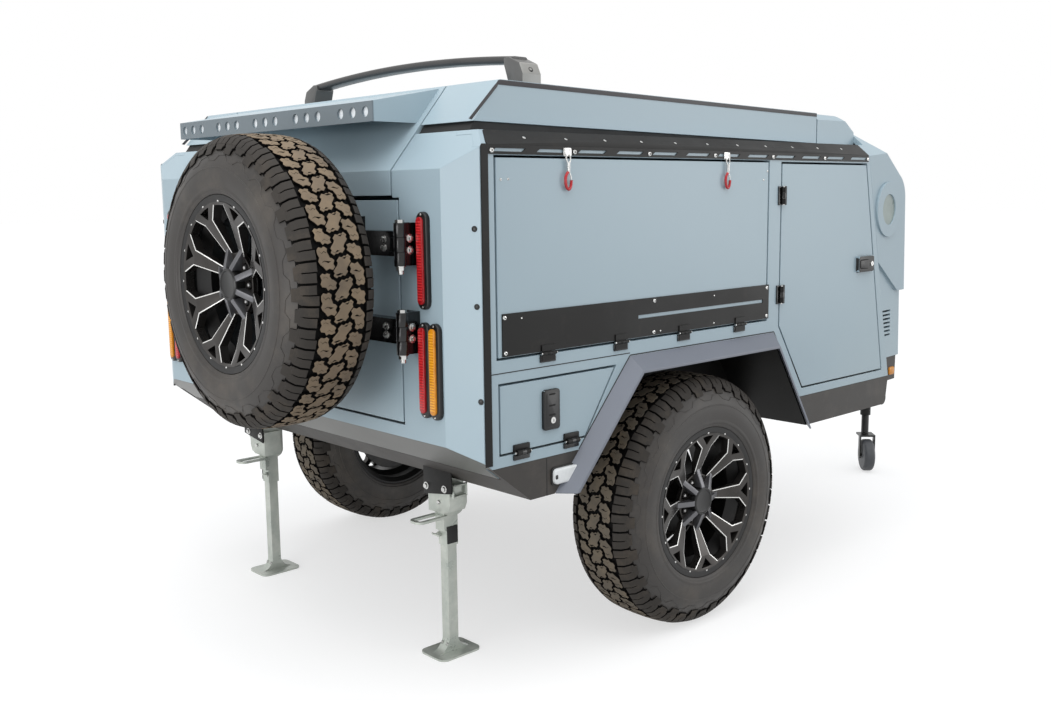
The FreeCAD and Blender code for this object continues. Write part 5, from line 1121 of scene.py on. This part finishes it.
# Studio
def seen_directly(tree):
    """One for rays from the camera, in gloss and through glass, and nought for the rest."""
    rays = add(tree, "ShaderNodeLightPath")
    seen = add(tree, "ShaderNodeMath", {
        0: rays.outputs["Is Camera Ray"], 1: rays.outputs["Is Glossy Ray"]}, operation="MAXIMUM")
    seen = add(tree, "ShaderNodeMath", {
        0: seen.outputs[0], 1: rays.outputs["Is Transmission Ray"]}, operation="MAXIMUM")
    return seen.outputs[0]


# A matt paper floor that keeps the trailer's shadow and glows a little where it is seen
FLOOR_HALF = 60.0
FLOOR_GLOW = 0.60
floor_mesh = bmesh.new()
bmesh.ops.create_grid(floor_mesh, x_segments=2, y_segments=2, size=FLOOR_HALF)
mesh = bpy.data.meshes.new("studio_floor")
floor_mesh.to_mesh(mesh)
floor_mesh.free()
studio_floor = bpy.data.objects.new("studio_floor", mesh)
scene.collection.objects.link(studio_floor)
paper = bpy.data.materials.new("matt_paper")
paper.use_nodes = True
tree = paper.node_tree
tree.nodes.clear()
lift = add(tree, "ShaderNodeMath", {0: seen_directly(tree), 1: FLOOR_GLOW}, operation="MULTIPLY")
matt = add(tree, "ShaderNodeBsdfDiffuse", {"Color": colour("B4B4B4")})
glow = add(tree, "ShaderNodeEmission", {"Color": (1, 1, 1, 1), "Strength": lift.outputs[0]})
both = add(tree, "ShaderNodeAddShader", {0: matt.outputs[0], 1: glow.outputs[0]})
add(tree, "ShaderNodeOutputMaterial", {"Surface": both.outputs[0]})
mesh.materials.append(paper)

# A soft sky that lights the trailer, white where it is seen
world = bpy.data.worlds.new("soft_sky")
scene.world = world
world.use_nodes = True
tree = world.node_tree
tree.nodes.clear()
soft = add(tree, "ShaderNodeBackground", {"Color": colour("F6F8FA"), "Strength": 0.98})
white = add(tree, "ShaderNodeBackground", {"Color": (1, 1, 1, 1), "Strength": 1.0})
both = add(tree, "ShaderNodeMixShader", {0: seen_directly(tree), 1: soft.outputs[0], 2: white.outputs[0]})
add(tree, "ShaderNodeOutputWorld", {"Surface": both.outputs[0]})

# Lamps: name, place, size in metres and power in watts. The side light shows only in gloss.
LAMPS = (("overhead", (-2.0, -1.5, 5.5), 5.0, 130.0), ("tail_light", (-6.0, -0.8, 1.0), 2.6, 75.0),
         ("side_light", (3.8, -4.6, 1.9), 3.0, 70.0))
LAMPS_AIM = Vector((-0.3, 0, 0.8))
for name, place, size, power in LAMPS:
    lamp_data = bpy.data.lights.new(name, "AREA")
    lamp_data.size = size
    lamp_data.energy = power
    light = bpy.data.objects.new(name, lamp_data)
    light.visible_diffuse = name != "side_light"
    aimed = (LAMPS_AIM - Vector(place)).to_track_quat("-Z", "Y").to_matrix().to_4x4()
    light.matrix_world = Matrix.Translation(place) @ aimed
    scene.collection.objects.link(light)

bpy.context.view_layer.update()
